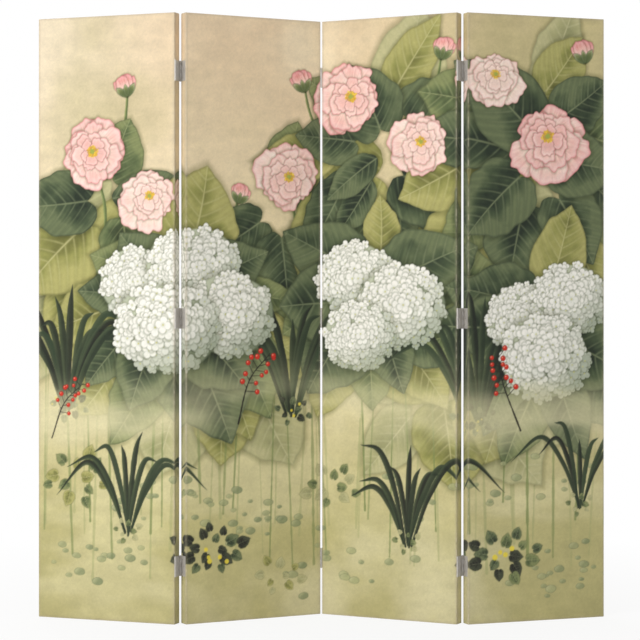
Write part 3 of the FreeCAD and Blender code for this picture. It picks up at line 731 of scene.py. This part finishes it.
def paint_mist(picture, low, high, tone, cover, shift):
    """A pale veil over what is painted, thickest half way between two heights given as shares."""
    x, z = picture.everywhere()
    up = z / picture.height
    band = ramp(up, low, 0.5 * (low + high)) * ramp(-up, -high, -0.5 * (low + high))
    patchy = ramp(clouds(0.4 * x, z, 0.10 * picture.height, 4, shift), 0.35, 0.70)
    picture.colour[:] = mixed(picture.colour, tone, cover * band * patchy)


def paint_grain(picture, shift):
    """Uneven pigment over the whole picture: fine specks, and dry-brush streaks across."""
    x, z = picture.everywhere()
    fine = noise(x, z, 1.6 * picture.step, shift) + noise(x, z, 3.3 * picture.step, shift + 1) - 1
    dry = clouds(0.25 * x, z, 0.012 * picture.height, 3, shift + 4) - 0.5
    picture.colour *= (1 + 0.035 * fine + 0.06 * dry)[..., None]


def paint_stalk(picture, x, z, foot_x, foot_z, width, seed):
    """A green stalk from a flower down to the leaves that it rises from."""
    lean = 0.25 * (foot_x - x)
    rise = z - foot_z
    low, high = (foot_x - 0.4 * lean, foot_z + 0.45 * rise), (x + lean, z - 0.2 * rise)
    points = [(foot_x, foot_z), low, high, (x, z)]
    paint_stroke(picture, points, width, *STALK_TONES, (1.1, 0.8), 0.0, 0.95, 0.12, seed)


def placed(picture, rows):
    """Each row's number, its place in metres, and the rest of it."""
    for i, (x, z, *rest) in enumerate(rows):
        yield i, (x * picture.width, z * picture.height), rest


def paint_garden(picture):
    """The front's picture: white flower heads and pink blossoms among broad leaves, over mist."""
    w, h = picture.width, picture.height
    paint_wash(picture, 3)
    paint_stems(picture, 61, 30, 0.10, 0.40, FAR_STEM, 0.0042 * h, 0.55)
    for i, place, (wide, tall, count) in placed(picture, FAR_BUSH_SHARES):
        paint_bush(picture, *place, wide * w, tall * h, count, 0.155 * h, ("far", "far", "fresh"), 101 + i)
    paint_stems(picture, 71, 24, 0.12, 0.42, NEAR_STEM, 0.0040 * h, 0.8)
    for i, place, (foot_x, foot_z) in placed(picture, STALK_SHARES):
        paint_stalk(picture, *place, foot_x * w, foot_z * h, 0.0055 * h, 301 + i)
    for i, place, (wide, tall, count, tones) in placed(picture, NEAR_BUSH_SHARES):
        paint_bush(picture, *place, wide * w, tall * h, count, 0.145 * h, tones, 201 + i)
    for i, place, (length, count) in placed(picture, HIGH_BLADE_SHARES):
        paint_blades(picture, *place, length * h, count, 131 + i)
        paint_ground_cover(picture, *place, 0.032 * h, 9, 441 + i, ("deep", "ink"))
    for i, place, (length, turn) in placed(picture, BUD_SHARES):
        paint_bud(picture, *place, length * h, turn, 71 + i)
    for i, place, (radius, rose) in placed(picture, BLOSSOM_SHARES):
        paint_peony(picture, *place, radius * h, 51 + i, rose)
    for i, place, (radius,) in placed(picture, HEAD_SHARES):
        paint_flower_head(picture, *place, radius * h, 31 + i)
    paint_mist(picture, 0.20, 0.46, MIST, 0.75, 411)
    paint_pebbles(picture, 120, 401)
    for i, place, (wide, count, tones) in placed(picture, LOW_PLANT_SHARES):
        paint_ground_cover(picture, *place, wide * h, count, 421 + i, tones)
    for i, place, (length, count) in placed(picture, LOW_BLADE_SHARES):
        paint_blades(picture, *place, length * h, count, 91 + i)
        paint_ground_cover(picture, *place, 0.024 * h, 8, 461 + i, ("green", "far"))
    for i, place, (length, turn) in placed(picture, TWIG_SHARES):
        paint_berries(picture, *place, length * h, turn, 111 + i)
    paint_grain(picture, 501)


def paint_back(picture):
    """The back's picture: the same ground, with reeds, a few dark tufts and pebbles in the mist."""
    w, h = picture.width, picture.height
    paint_wash(picture, 23)
    paint_stems(picture, 161, 34, 0.06, 0.50, BACK_STEM, 0.0045 * h, 0.55)
    for i, place, (wide, tall, count) in placed(picture, BACK_BUSH_SHARES):
        paint_bush(picture, *place, wide * w, tall * h, count, 0.125 * h, ("far", "fresh", "green"), 601 + i)
    paint_mist(picture, 0.10, 0.55, BACK_MIST, 0.8, 611)
    paint_pebbles(picture, 90, 621)
    for i, place, (length, count) in placed(picture, BACK_BLADE_SHARES):
        paint_blades(picture, *place, length * h, count, 631 + i)
        paint_ground_cover(picture, *place, 0.024 * h, 8, 641 + i, ("green", "far"))
    paint_grain(picture, 651)


def to_light(colour):
    """Display colours turned into the amounts of light that Blender reckons with."""
    colour = np.clip(np.asarray(colour, float), 0, 1)
    return np.where(colour <= 0.04045, colour / 12.92, ((colour + 0.055) / 1.055) ** 2.4)


def rgb(colour):
    """A display colour as a socket's value."""
    return (*to_light(colour), 1.0)


def colours_at(picture, x, z):
    """The picture's colours at any places, smooth between its dots."""
    column = np.clip(x / picture.step - 0.5, 0, picture.columns - 1.001)
    row = np.clip(z / picture.step - 0.5, 0, picture.rows - 1.001)
    left, low = column.astype(int), row.astype(int)
    across, up = (column - left)[:, None], (row - low)[:, None]
    bottom = picture.colour[low, left] * (1 - across) + picture.colour[low, left + 1] * across
    top = picture.colour[low + 1, left] * (1 - across) + picture.colour[low + 1, left + 1] * across
    return bottom * (1 - up) + top * up


def panel_turn(panel):
    """The angle that a panel stands at, seen from above."""
    turn = OUTER_TURN if panel in (PANELS[0], PANELS[-1]) else INNER_TURN
    return -turn if panel % 2 else turn


def in_row(panel, points):
    """A panel's own points, measured from its lower left corner and mid-depth, in the row frame."""
    low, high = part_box(f"panel_{panel}_front_canvas")
    middle = 0.5 * (np.array(low) + np.array(high))
    turn = panel_turn(panel)
    along = points[:, 0] - 0.5 * PANEL_WIDTH
    deep = points[:, 1] - CANVAS_MIDDLE
    placed_points = np.empty_like(points)
    placed_points[:, 0] = middle[0] + along * math.cos(turn) - deep * math.sin(turn)
    placed_points[:, 1] = middle[1] + along * math.sin(turn) + deep * math.cos(turn)
    placed_points[:, 2] = points[:, 2]
    return placed_points


def mesh_of(name, points, faces, places, colours):
    """A smooth mesh from four-cornered faces. places are the corners' places on the flat cloth in
    metres, and colours are the points' display colours. Points that fall together become one."""
    _, first, same = np.unique(np.round(points, 8), axis=0, return_index=True, return_inverse=True)
    faces = same.reshape(-1)[faces]
    points, colours = points[first], colours[first]
    kept = faces != np.roll(faces, -1, axis=1)
    whole = kept.sum(axis=1) >= 3
    faces, places, kept = faces[whole], places[whole], kept[whole]
    counts = kept.sum(axis=1)
    mesh = bpy.data.meshes.new(name)
    mesh.vertices.add(len(points))
    mesh.vertices.foreach_set("co", points.astype(np.float32).ravel())
    mesh.loops.add(int(counts.sum()))
    mesh.loops.foreach_set("vertex_index", faces[kept].astype(np.int32))
    mesh.polygons.add(len(faces))
    starts = np.concatenate([[0], np.cumsum(counts)[:-1]])
    mesh.polygons.foreach_set("loop_start", starts.astype(np.int32))
    mesh.update(calc_edges=True)
    mesh.validate()
    mesh.polygons.foreach_set("use_smooth", np.ones(len(faces), bool))
    size = places.reshape(-1, 2).max(axis=0)
    layer = mesh.uv_layers.new(name="OFBake")
    layer.data.foreach_set("uv", (places[kept] / size).astype(np.float32).ravel())
    paint = mesh.color_attributes.new("print", "FLOAT_COLOR", "POINT")
    light = np.ones((len(points), 4), np.float32)
    light[:, :3] = to_light(colours)
    paint.data.foreach_set("color", light.ravel())
    piece = bpy.data.objects.new(name, mesh)
    bpy.context.scene.collection.objects.link(piece)
    return piece


def grid_faces(columns, rows):
    """The faces of a grid of points that lie row by row, each from its lower left corner rightwards."""
    start = np.arange(rows)[:, None] * (columns + 1) + np.arange(columns)[None, :]
    return np.stack([start, start + 1, start + columns + 2, start + columns + 1], -1).reshape(-1, 4)


def edge_distance(x, z):
    """How far places on a panel are from the nearest edge of its outline."""
    return np.minimum(np.minimum(x, PANEL_WIDTH - x), np.minimum(z, PANEL_HEIGHT - z))


def round_sides(along, up, low, high):
    """Points on a rectangle's bottom, right, top and left sides, one side after another."""
    return np.concatenate([
        np.stack([along, np.full_like(along, low[1])], 1),
        np.stack([np.full_like(up, high[0]), up], 1),
        np.stack([along[::-1], np.full_like(along, high[1])], 1),
        np.stack([np.full_like(up, low[0]), up[::-1]], 1),
    ])


def ring_points(columns, rows, inset):
    """The points round a panel's outline, inset by some distance. The corners have the edge's
    rounding, as far as the inset leaves it."""
    rounding = max(EDGE_ROUND - inset, 0.0)
    left, right, bottom, top = inset, PANEL_WIDTH - inset, inset, PANEL_HEIGHT - inset
    along = left + (right - left) * np.linspace(0, 1, columns + 1)
    up = bottom + (top - bottom) * np.linspace(0, 1, rows + 1)
    along = np.clip(along, left + rounding, right - rounding)
    up = np.clip(up, bottom + rounding, top - rounding)
    return round_sides(along, up, (left, bottom), (right, top))


def wrap_profile():
    """How the cloth goes from the front round the edge to its lip: inset, depth, and length of cloth."""
    profile = []
    for share in EDGE_STEP_SHARES:
        angle = 0.5 * math.pi * share
        profile.append((EDGE_ROUND * (1 - math.sin(angle)), FRONT + EDGE_ROUND * (1 - math.cos(angle))))
    for step in range(1, SIDE_STEPS):
        share = step / SIDE_STEPS
        profile.append((0.0, FRONT + EDGE_ROUND + share * (CANVAS_BACK - FRONT - 2 * EDGE_ROUND)))
    for share in EDGE_STEP_SHARES:
        angle = 0.5 * math.pi * share
        profile.append((EDGE_ROUND * (1 - math.cos(angle)), CANVAS_BACK - EDGE_ROUND * (1 - math.sin(angle))))
    for share in LIP_STEP_SHARES:
        profile.append((EDGE_ROUND + share * (LIP - EDGE_ROUND), CANVAS_BACK))
    profile = np.array(profile)
    lengths = np.hypot(*np.diff(profile, axis=0).T)
    return profile, np.concatenate([[0], np.cumsum(lengths)])


def past_crease(x, depth):
    """How far a point on the top or bottom edge is past the slanting crease of the corner's pleat."""
    from_corner = np.minimum(x, PANEL_WIDTH - x)
    return (depth - FRONT) - from_corner


def pleat_rise(x, depth, inset):
    """How far the spare cloth that is folded over at the corners stands proud of the top edge."""
    flat_share = np.clip(1 - inset / EDGE_ROUND, 0, 1)
    return PLEAT_RISE * ramp(past_crease(x, depth), 0, PLEAT_SLOPE) * flat_share


def front_canvas(panel, picture):
    """The printed canvas of a panel: one cloth over the front, round the four edges and onto the back."""
    columns, rows = FRONT_COLUMNS, FRONT_ROWS
    x = np.linspace(EDGE_ROUND, PANEL_WIDTH - EDGE_ROUND, columns + 1)
    z = np.linspace(EDGE_ROUND, PANEL_HEIGHT - EDGE_ROUND, rows + 1)
    grid_x, grid_z = np.meshgrid(x, z)
    slack = SLACK * (clouds(grid_x + panel, grid_z, SLACK_SIZE, 2, panel) - 0.5)
    slack = slack * ramp(edge_distance(grid_x, grid_z), EDGE_ROUND, SLACK_RIM)
    points = [np.stack([grid_x, FRONT - slack, grid_z], -1).reshape(-1, 3)]
    faces = [grid_faces(columns, rows)]
    flat = [np.stack([grid_x, grid_z], -1).reshape(-1, 2)[faces[0]]]
    seen = [np.stack([grid_x, grid_z], -1).reshape(-1, 2)]
    # The rings round the panel. Each of their points is on one of four sides, which face outward.
    lengths = [columns + 1, rows + 1, columns + 1, rows + 1]
    side = np.repeat(np.arange(4), lengths)
    outward = np.array([(0, -1), (1, 0), (0, 1), (-1, 0)])[side]
    border = round_sides(x, z, (x[0], z[0]), (x[-1], z[-1]))
    profile, reach = wrap_profile()
    here = np.arange(len(side))
    after = np.roll(here, -1)
    for k, (inset, depth) in enumerate(profile):
        ring = border if k == 0 else ring_points(columns, rows, inset)
        rise = pleat_rise(ring[:, 0], depth, inset) * (side == 2)
        points.append(np.stack([ring[:, 0], np.full(len(ring), depth), ring[:, 1] + rise], 1))
        # The print goes on round the edge as its own mirror image.
        nearest_x = np.clip(ring[:, 0], EDGE_ROUND, PANEL_WIDTH - EDGE_ROUND)
        nearest_z = np.clip(ring[:, 1] + rise, EDGE_ROUND, PANEL_HEIGHT - EDGE_ROUND)
        nearest = np.stack([nearest_x, nearest_z], 1)
        seen.append(np.where(outward == 0, nearest, border - outward * reach[k]))
    for k in range(len(profile) - 1):
        near = len(x) * len(z) + k * len(side)
        far = near + len(side)
        faces.append(np.stack([near + here, far + here, far + after, near + after], 1))
        corners = []
        for ring, at in ((k, here), (k + 1, here), (k + 1, after), (k, after)):
            on_ring = points[ring + 1][:, [0, 2]][at]
            corners.append(np.where(outward == 0, on_ring, border + outward * reach[ring]))
        flat.append(np.stack(corners, 1))
    points, seen = np.concatenate(points), np.concatenate(seen)
    colours = colours_at(picture, seen[:, 0] + (panel - 1) * PANEL_WIDTH, seen[:, 1])
    colours = worn_and_shaded(points, colours, panel)
    name = f"panel_{panel}_printed_cloth"
    return mesh_of(name, in_row(panel, points), np.concatenate(faces), np.concatenate(flat) + WRAP, colours)


def worn_and_shaded(points, colours, panel):
    """The print with rubbed patches and painted shade along the cloth's edges, and painted shade in the
    creases of its corner pleats.
    """
    x, y, z = points.T
    at_edge = edge_distance(x, z)
    rub = ramp(-at_edge, -1.6 * EDGE_ROUND, 0) * ramp(-y, -(FRONT + 1.6 * EDGE_ROUND), -FRONT)
    patchy = clouds(x + z + 3 * panel, z + y, RUB_PATCH, 3, panel)
    rub = rub * (0.04 + 0.45 * ramp(patchy, 0.5, 0.72))
    # Painted shade: the cloth is darkened towards its rounded edges, where less light falls on them.
    edge_shade = ramp(-at_edge, -EDGE_SHADE_REACH, -0.3 * EDGE_ROUND) * ramp(-y, -0.5 * (FRONT + CANVAS_BACK), -FRONT)
    colours = mixed(colours, EDGE_SHADE_COLOUR, 0.34 * edge_shade * (0.5 + patchy))
    colours = mixed(colours, RUBBED, rub)
    # Painted shadow: the crease of each corner pleat on the top and bottom edges is darkened to stand in for
    # its shade.
    on_end = np.maximum(ramp(z, PANEL_HEIGHT - EDGE_ROUND, PANEL_HEIGHT), ramp(-z, -EDGE_ROUND, 0))
    crease_shade = np.exp(-((past_crease(x, y) / PLEAT_SLOPE) ** 2))
    return mixed(colours, 0.45 * colours, crease_shade * on_end * ramp(y, FRONT, FRONT + 2 * EDGE_ROUND))


def back_line(length, count):
    """Places along the back sheet from rim to rim, and how far it has risen at each."""
    thick = BACK - CANVAS_BACK
    rim = np.array(RIM_SHARES[:-1]) * thick
    inner = BACK_INSET + thick
    flat = np.linspace(inner, length - inner, count + 1)
    places = np.concatenate([BACK_INSET + rim[:, 0], flat, length - BACK_INSET - rim[::-1, 0]])
    return places, np.concatenate([rim[:, 1], np.full_like(flat, thick), rim[::-1, 1]])


def back_canvas(panel, picture):
    """The sheet that covers a panel's back, with its rim turned down onto the front canvas's lip."""
    x, rise_x = back_line(PANEL_WIDTH, BACK_COLUMNS)
    z, rise_z = back_line(PANEL_HEIGHT, BACK_ROWS)
    grid_x, grid_z = np.meshgrid(x, z)
    rise = np.minimum(*np.meshgrid(rise_x, rise_z))
    slack = SLACK * (clouds(grid_x - panel, grid_z, SLACK_SIZE, 2, panel + 9) - 0.5)
    slack = slack * ramp(edge_distance(grid_x, grid_z), BACK_SLACK_START, SLACK_RIM)
    points = np.stack([grid_x, CANVAS_BACK + rise + slack, grid_z], -1).reshape(-1, 3)
    # Seen from behind, the sheet's faces run the other way round, and its print from right to left.
    faces = grid_faces(len(x) - 1, len(z) - 1)[:, [0, 3, 2, 1]]
    seen = SCREEN_WIDTH - (points[:, 0] + (panel - 1) * PANEL_WIDTH)
    colours = colours_at(picture, seen, points[:, 2])
    flat = np.stack([PANEL_WIDTH - points[:, 0], points[:, 2]], 1)[faces]
    return mesh_of(f"panel_{panel}_back_cloth", in_row(panel, points), faces, flat, colours)


class Shader:
    """The nodes of a material or of the world, made one after another."""

    def __init__(self, owner, kind="Principled BSDF"):
        owner.use_nodes = True
        self.owner = owner
        self.tree = owner.node_tree
        self.surface = self.tree.nodes[kind]

    def put(self, node, key, value):
        """Sets a socket, or links it if the value is another node's output."""
        if isinstance(value, bpy.types.NodeSocket):
            self.tree.links.new(value, node.inputs[key])
        else:
            node.inputs[key].default_value = value

    def add(self, kind, inputs=None, **settings):
        """A node with its settings and sockets set."""
        node = self.tree.nodes.new("ShaderNode" + kind)
        for key, value in settings.items():
            setattr(node, key, value)
        for key, value in (inputs or {}).items():
            self.put(node, key, value)
        return node

    def math(self, operation, first, second=0.0):
        """The result of a sum on one or two numbers."""
        return self.add("Math", {0: first, 1: second}, operation=operation).outputs[0]

    def most(self, first, *others):
        """The largest of some numbers."""
        for other in others:
            first = self.math("MAXIMUM", first, other)
        return first

    def seen(self):
        """1 for what the camera sees, also through gloss and glass, and 0 for light on other things."""
        rays = self.add("LightPath").outputs
        return self.most(rays["Is Camera Ray"], rays["Is Glossy Ray"], rays["Is Transmission Ray"])

    def noise(self, place, scale, detail=4.0, roughness=0.55):
        """Noise at a place, from 0 to 1."""
        inputs = {"Vector": place, "Scale": scale, "Detail": detail, "Roughness": roughness}
        return self.add("TexNoise", inputs).outputs["Fac"]

    def spread(self, value, low, high, to_low=0.0, to_high=1.0):
        """A number moved from one range to another."""
        inputs = {"Value": value, "From Min": low, "From Max": high, "To Min": to_low, "To Max": to_high}
        return self.add("MapRange", inputs).outputs["Result"]

    def blend(self, share, first, second, kind="MIX"):
        """One colour mixed with another."""
        mix = self.add("Mix", data_type="RGBA", blend_type=kind)
        sockets = [socket for socket in mix.inputs if socket.enabled]
        for key, value in (("Factor", share), ("A", first), ("B", second)):
            place = next(i for i, socket in enumerate(mix.inputs) if socket in sockets and socket.name == key)
            self.put(mix, place, value)
        return next(socket for socket in mix.outputs if socket.type == "RGBA" and socket.enabled)

    def stretched(self, place, scale, turn=0.0):
        """A place measured in other lengths along each axis, after a turn about the upright."""
        inputs = {"Vector": place, "Angle": turn}
        turned_place = self.add("VectorRotate", inputs, rotation_type="Z_AXIS").outputs[0]
        return self.add("VectorMath", {0: turned_place, 1: scale}, operation="MULTIPLY").outputs[0]

    def surface_of(self, **values):
        """Sets sockets of the surface, with spaces for low lines in their names."""
        for key, value in values.items():
            self.put(self.surface, key.replace("_", " "), value)
        return self.owner


def canvas_finish(name, size, shift):
    """Matte print on cotton canvas: its threads, thick slubs, and pigment that lies unevenly."""
    shader = Shader(bpy.data.materials.new(name))
    printed = shader.add("Attribute", attribute_name="print").outputs["Color"]
    flat = shader.add("UVMap", uv_map="OFBake").outputs["UV"]
    metres = shader.add("VectorMath", {0: flat, 1: (*size, 1)}, operation="MULTIPLY").outputs[0]
    split = shader.add("SeparateXYZ", {0: metres})
    # Threads go over and under each other every THREAD metres.
    warp, weft = (
        shader.math("SINE", shader.math("MULTIPLY", split.outputs[axis], math.pi / THREAD)) for axis in "XY"
    )
    weave = shader.math("MULTIPLY", warp, weft)
    moved = shader.add("VectorMath", {0: metres, 1: (shift, 2 * shift, 0)}, operation="ADD").outputs[0]
    slubs = [shader.noise(shader.stretched(moved, scale), 1.0, 2.0) for scale in (SLUB_ACROSS, SLUB_UP)]
    slub = shader.most(*(shader.spread(one, 0.62, 0.80) for one in slubs))
    pigment = shader.noise(moved, PIGMENT_SCALE, 3.0, 0.7)
    patch = shader.noise(moved, PATCH_SCALE, 5.0)
    height = shader.math("ADD", shader.math("MULTIPLY", weave, 0.5), slub)
    lightness = shader.spread(pigment, 0.25, 0.75, 0.965, 1.035)
    for thread in (weave, slub):
        lightness = shader.math("ADD", lightness, shader.math("MULTIPLY", thread, 0.05))
    lightness = shader.math("MULTIPLY", lightness, shader.spread(patch, 0.3, 0.7, 0.975, 1.015))
    grey = shader.add("CombineColor", {0: lightness, 1: lightness, 2: lightness}).outputs[0]
    colour = shader.blend(1.0, printed, grey, "MULTIPLY")
    bump = shader.add("Bump", {"Strength": 0.6, "Distance": WEAVE_BUMP, "Height": height}).outputs[0]
    return shader.surface_of(
        Base_Color=colour, Roughness=shader.spread(pigment, 0.2, 0.8, 0.74, 0.92), Normal=bump,
        Sheen_Weight=0.12, Sheen_Roughness=0.5, Specular_IOR_Level=0.25,
    )


def metal_finish(name, tones, line_scale, roughness, metal_share):
    """Satin plated steel with fine brushing along one axis, handling marks and a little tarnish."""
    shader = Shader(bpy.data.materials.new(name))
    plain, tarnished = tones
    place = shader.add("TexCoord").outputs["Object"]
    lines = shader.noise(shader.stretched(place, line_scale), 1.0, 2.0)
    marks = shader.noise(place, MARK_SCALE, 5.0, 0.6)
    tarnish = shader.noise(place, TARNISH_SCALE, 4.0)
    tone = shader.blend(shader.spread(tarnish, 0.50, 0.75, 0.0, 0.55), rgb(plain), rgb(tarnished))
    tone = shader.blend(shader.spread(lines, 0.3, 0.7, 0.0, 0.22), tone, rgb(0.9 * np.array(plain)))
    handled = shader.spread(marks, 0.3, 0.7, roughness - 0.06, roughness + 0.10)
    dull = shader.math("ADD", handled, shader.spread(tarnish, 0.5, 0.8, 0.0, 0.12))
    height = shader.math("ADD", lines, marks)
    bump = shader.add("Bump", {"Strength": 0.15, "Distance": BRUSH_BUMP, "Height": height}).outputs[0]
    return shader.surface_of(Base_Color=tone, Metallic=metal_share, Roughness=dull, Normal=bump)


def wood_finish(name, turn, scale):
    """Planed softwood with its grain along a bar, paler sapwood and darker rings."""
    shader = Shader(bpy.data.materials.new(name))
    place = shader.add("TexCoord").outputs["Object"]
    grain_place = shader.stretched(place, scale, -turn)
    warp = shader.noise(grain_place, 0.35, 3.0)
    grain = shader.noise(grain_place, 1.0, 6.0, 0.62)
    wave = shader.math("ADD", grain, shader.math("MULTIPLY", warp, 2.0))
    ring_share = shader.math("FRACT", shader.math("MULTIPLY", wave, 3.2))
    rings = shader.spread(ring_share, 0.55, 1.0, 0.0, 0.6)
    fibre = shader.noise(shader.stretched(grain_place, FIBRES), 1.0, 2.0)
    tone = shader.blend(rings, *map(rgb, WOOD_TONES))
    tone = shader.blend(shader.spread(fibre, 0.35, 0.65, 0.0, 0.18), tone, rgb(WOOD_FIBRE))
    bump = shader.add("Bump", {"Strength": 0.2, "Distance": WOOD_BUMP, "Height": fibre}).outputs[0]
    rough = shader.spread(grain, 0.3, 0.7, 0.55, 0.75)
    return shader.surface_of(Base_Color=tone, Roughness=rough, Normal=bump)


def dress(node_name, material):
    """Gives a construction node its finish."""
    for slot in nodes[node_name].material_slots:
        slot.material = material


def studio_floor():
    """A wide pale floor. It keeps the screen's shadow near it and fades into the white backdrop."""
    mesh = bpy.data.meshes.new("floor")
    low, high = -FLOOR_HALF, FLOOR_HALF
    mesh.from_pydata([(low, low, 0), (high, low, 0), (high, high, 0), (low, high, 0)], [], [(0, 1, 2, 3)])
    floor = bpy.data.objects.new("floor", mesh)
    bpy.context.scene.collection.objects.link(floor)
    shader = Shader(bpy.data.materials.new("floor_paint"))
    place = shader.add("TexCoord").outputs["Object"]
    far = shader.add("VectorMath", {0: place}, operation="LENGTH").outputs["Value"]
    speck = shader.spread(shader.noise(place, SPECK_SCALE, 4.0), 0.3, 0.7)
    paint = shader.blend(speck, *map(rgb, FLOOR_TONES))
    shader.surface_of(Base_Color=paint, Roughness=FLOOR_ROUGHNESS, Specular_IOR_Level=0.1)
    white = shader.add("Emission", {"Color": (*WHITE, 1), "Strength": 1.0}).outputs[0]
    share = shader.math("MULTIPLY", shader.seen(), shader.spread(far, *FLOOR_FADE, NEAR_WHITE_SHARE, 1.0))
    mix = shader.add("MixShader", {0: share, 1: shader.surface.outputs[0], 2: white})
    out = next(node for node in shader.tree.nodes if node.type == "OUTPUT_MATERIAL")
    shader.tree.links.new(mix.outputs[0], out.inputs["Surface"])
    mesh.materials.append(shader.owner)


def studio_air():
    """A white world for the camera and for gloss, and a plain soft light for everything else."""
    world = bpy.data.worlds.new("studio")
    bpy.context.scene.world = world
    shader = Shader(world, "Background")
    strength = shader.spread(shader.seen(), 0.0, 1.0, AIR_LIGHT, 1.0)
    shader.surface_of(Color=(*WHITE, 1), Strength=strength)


def lamp(name, place, size, power, colour):
    """A soft square lamp that faces the middle of the screen."""
    light = bpy.data.lights.new(name, "AREA")
    light.shape = "SQUARE"
    light.size = size
    light.energy = power
    light.color = colour
    holder = bpy.data.objects.new(name, light)
    bpy.context.scene.collection.objects.link(holder)
    holder.location = place
    holder.rotation_euler = (Vector(LAMP_AIM) - Vector(place)).to_track_quat("-Z", "Y").to_euler()


def camera():
    """The photograph's view: level, straight on, at about half the screen's height."""
    lens = bpy.data.cameras.new("camera")
    lens.lens = LENS
    lens.shift_y = VIEW_SHIFT
    holder = bpy.data.objects.new("camera", lens)
    bpy.context.scene.collection.objects.link(holder)
    holder.location = CAMERA_PLACE
    holder.rotation_euler = (math.radians(90), 0, 0)
    bpy.context.scene.camera = holder


def cover_panel(panel, front_picture, back_picture, printed, backing):
    """Puts the two cloths over a panel and gives its bars their wood."""
    body = f"panel_{panel}"
    front = front_canvas(panel, front_picture)
    front.data.materials.append(printed)
    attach(front, body)
    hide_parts(f"{body}_front_canvas")
    back = back_canvas(panel, back_picture)
    back.data.materials.append(backing)
    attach(back, body)
    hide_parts(f"{body}_back_canvas")
    upright_wood = wood_finish(f"wood_upright_{panel}", panel_turn(panel), GRAIN_UP)
    rail_wood = wood_finish(f"wood_rail_{panel}", panel_turn(panel), GRAIN_ALONG)
    for bar in ("left_stile", "right_stile"):
        dress(f"{body}_{bar}", upright_wood)
    for bar in ("bottom_rail", "lower_cross_rail", "upper_cross_rail", "top_rail"):
        dress(f"{body}_{bar}", rail_wood)


bpy.context.scene.view_settings.view_transform = "Standard"
camera()
studio_air()
studio_floor()
for one_lamp in LAMPS:
    lamp(*one_lamp)

garden = Picture(SCREEN_WIDTH, PANEL_HEIGHT, DOT)
paint_garden(garden)
reeds = Picture(SCREEN_WIDTH, PANEL_HEIGHT, 2 * DOT)
paint_back(reeds)

printed_canvas = canvas_finish("printed_canvas", (PANEL_WIDTH + 2 * WRAP, PANEL_HEIGHT + 2 * WRAP), 1.7)
back_cloth = canvas_finish("back_canvas", (PANEL_WIDTH, PANEL_HEIGHT), 5.1)
plate_metal = metal_finish("hinge_metal", PLATE_TONES, BRUSHED_UP, 0.44, 0.40)
screw_metal = metal_finish("screw_metal", SCREW_TONES, BRUSHED_ALL, 0.34, 0.7)

for panel_number in PANELS:
    cover_panel(panel_number, garden, reeds, printed_canvas, back_cloth)
for fold in FOLDS:
    for part in ("left_leaves", "right_leaves", "links"):
        dress(f"fold_{fold}_{part}", plate_metal)
    for part in ("left_screws", "right_screws", "front_pins", "back_pins"):
        dress(f"fold_{fold}_{part}", screw_metal)
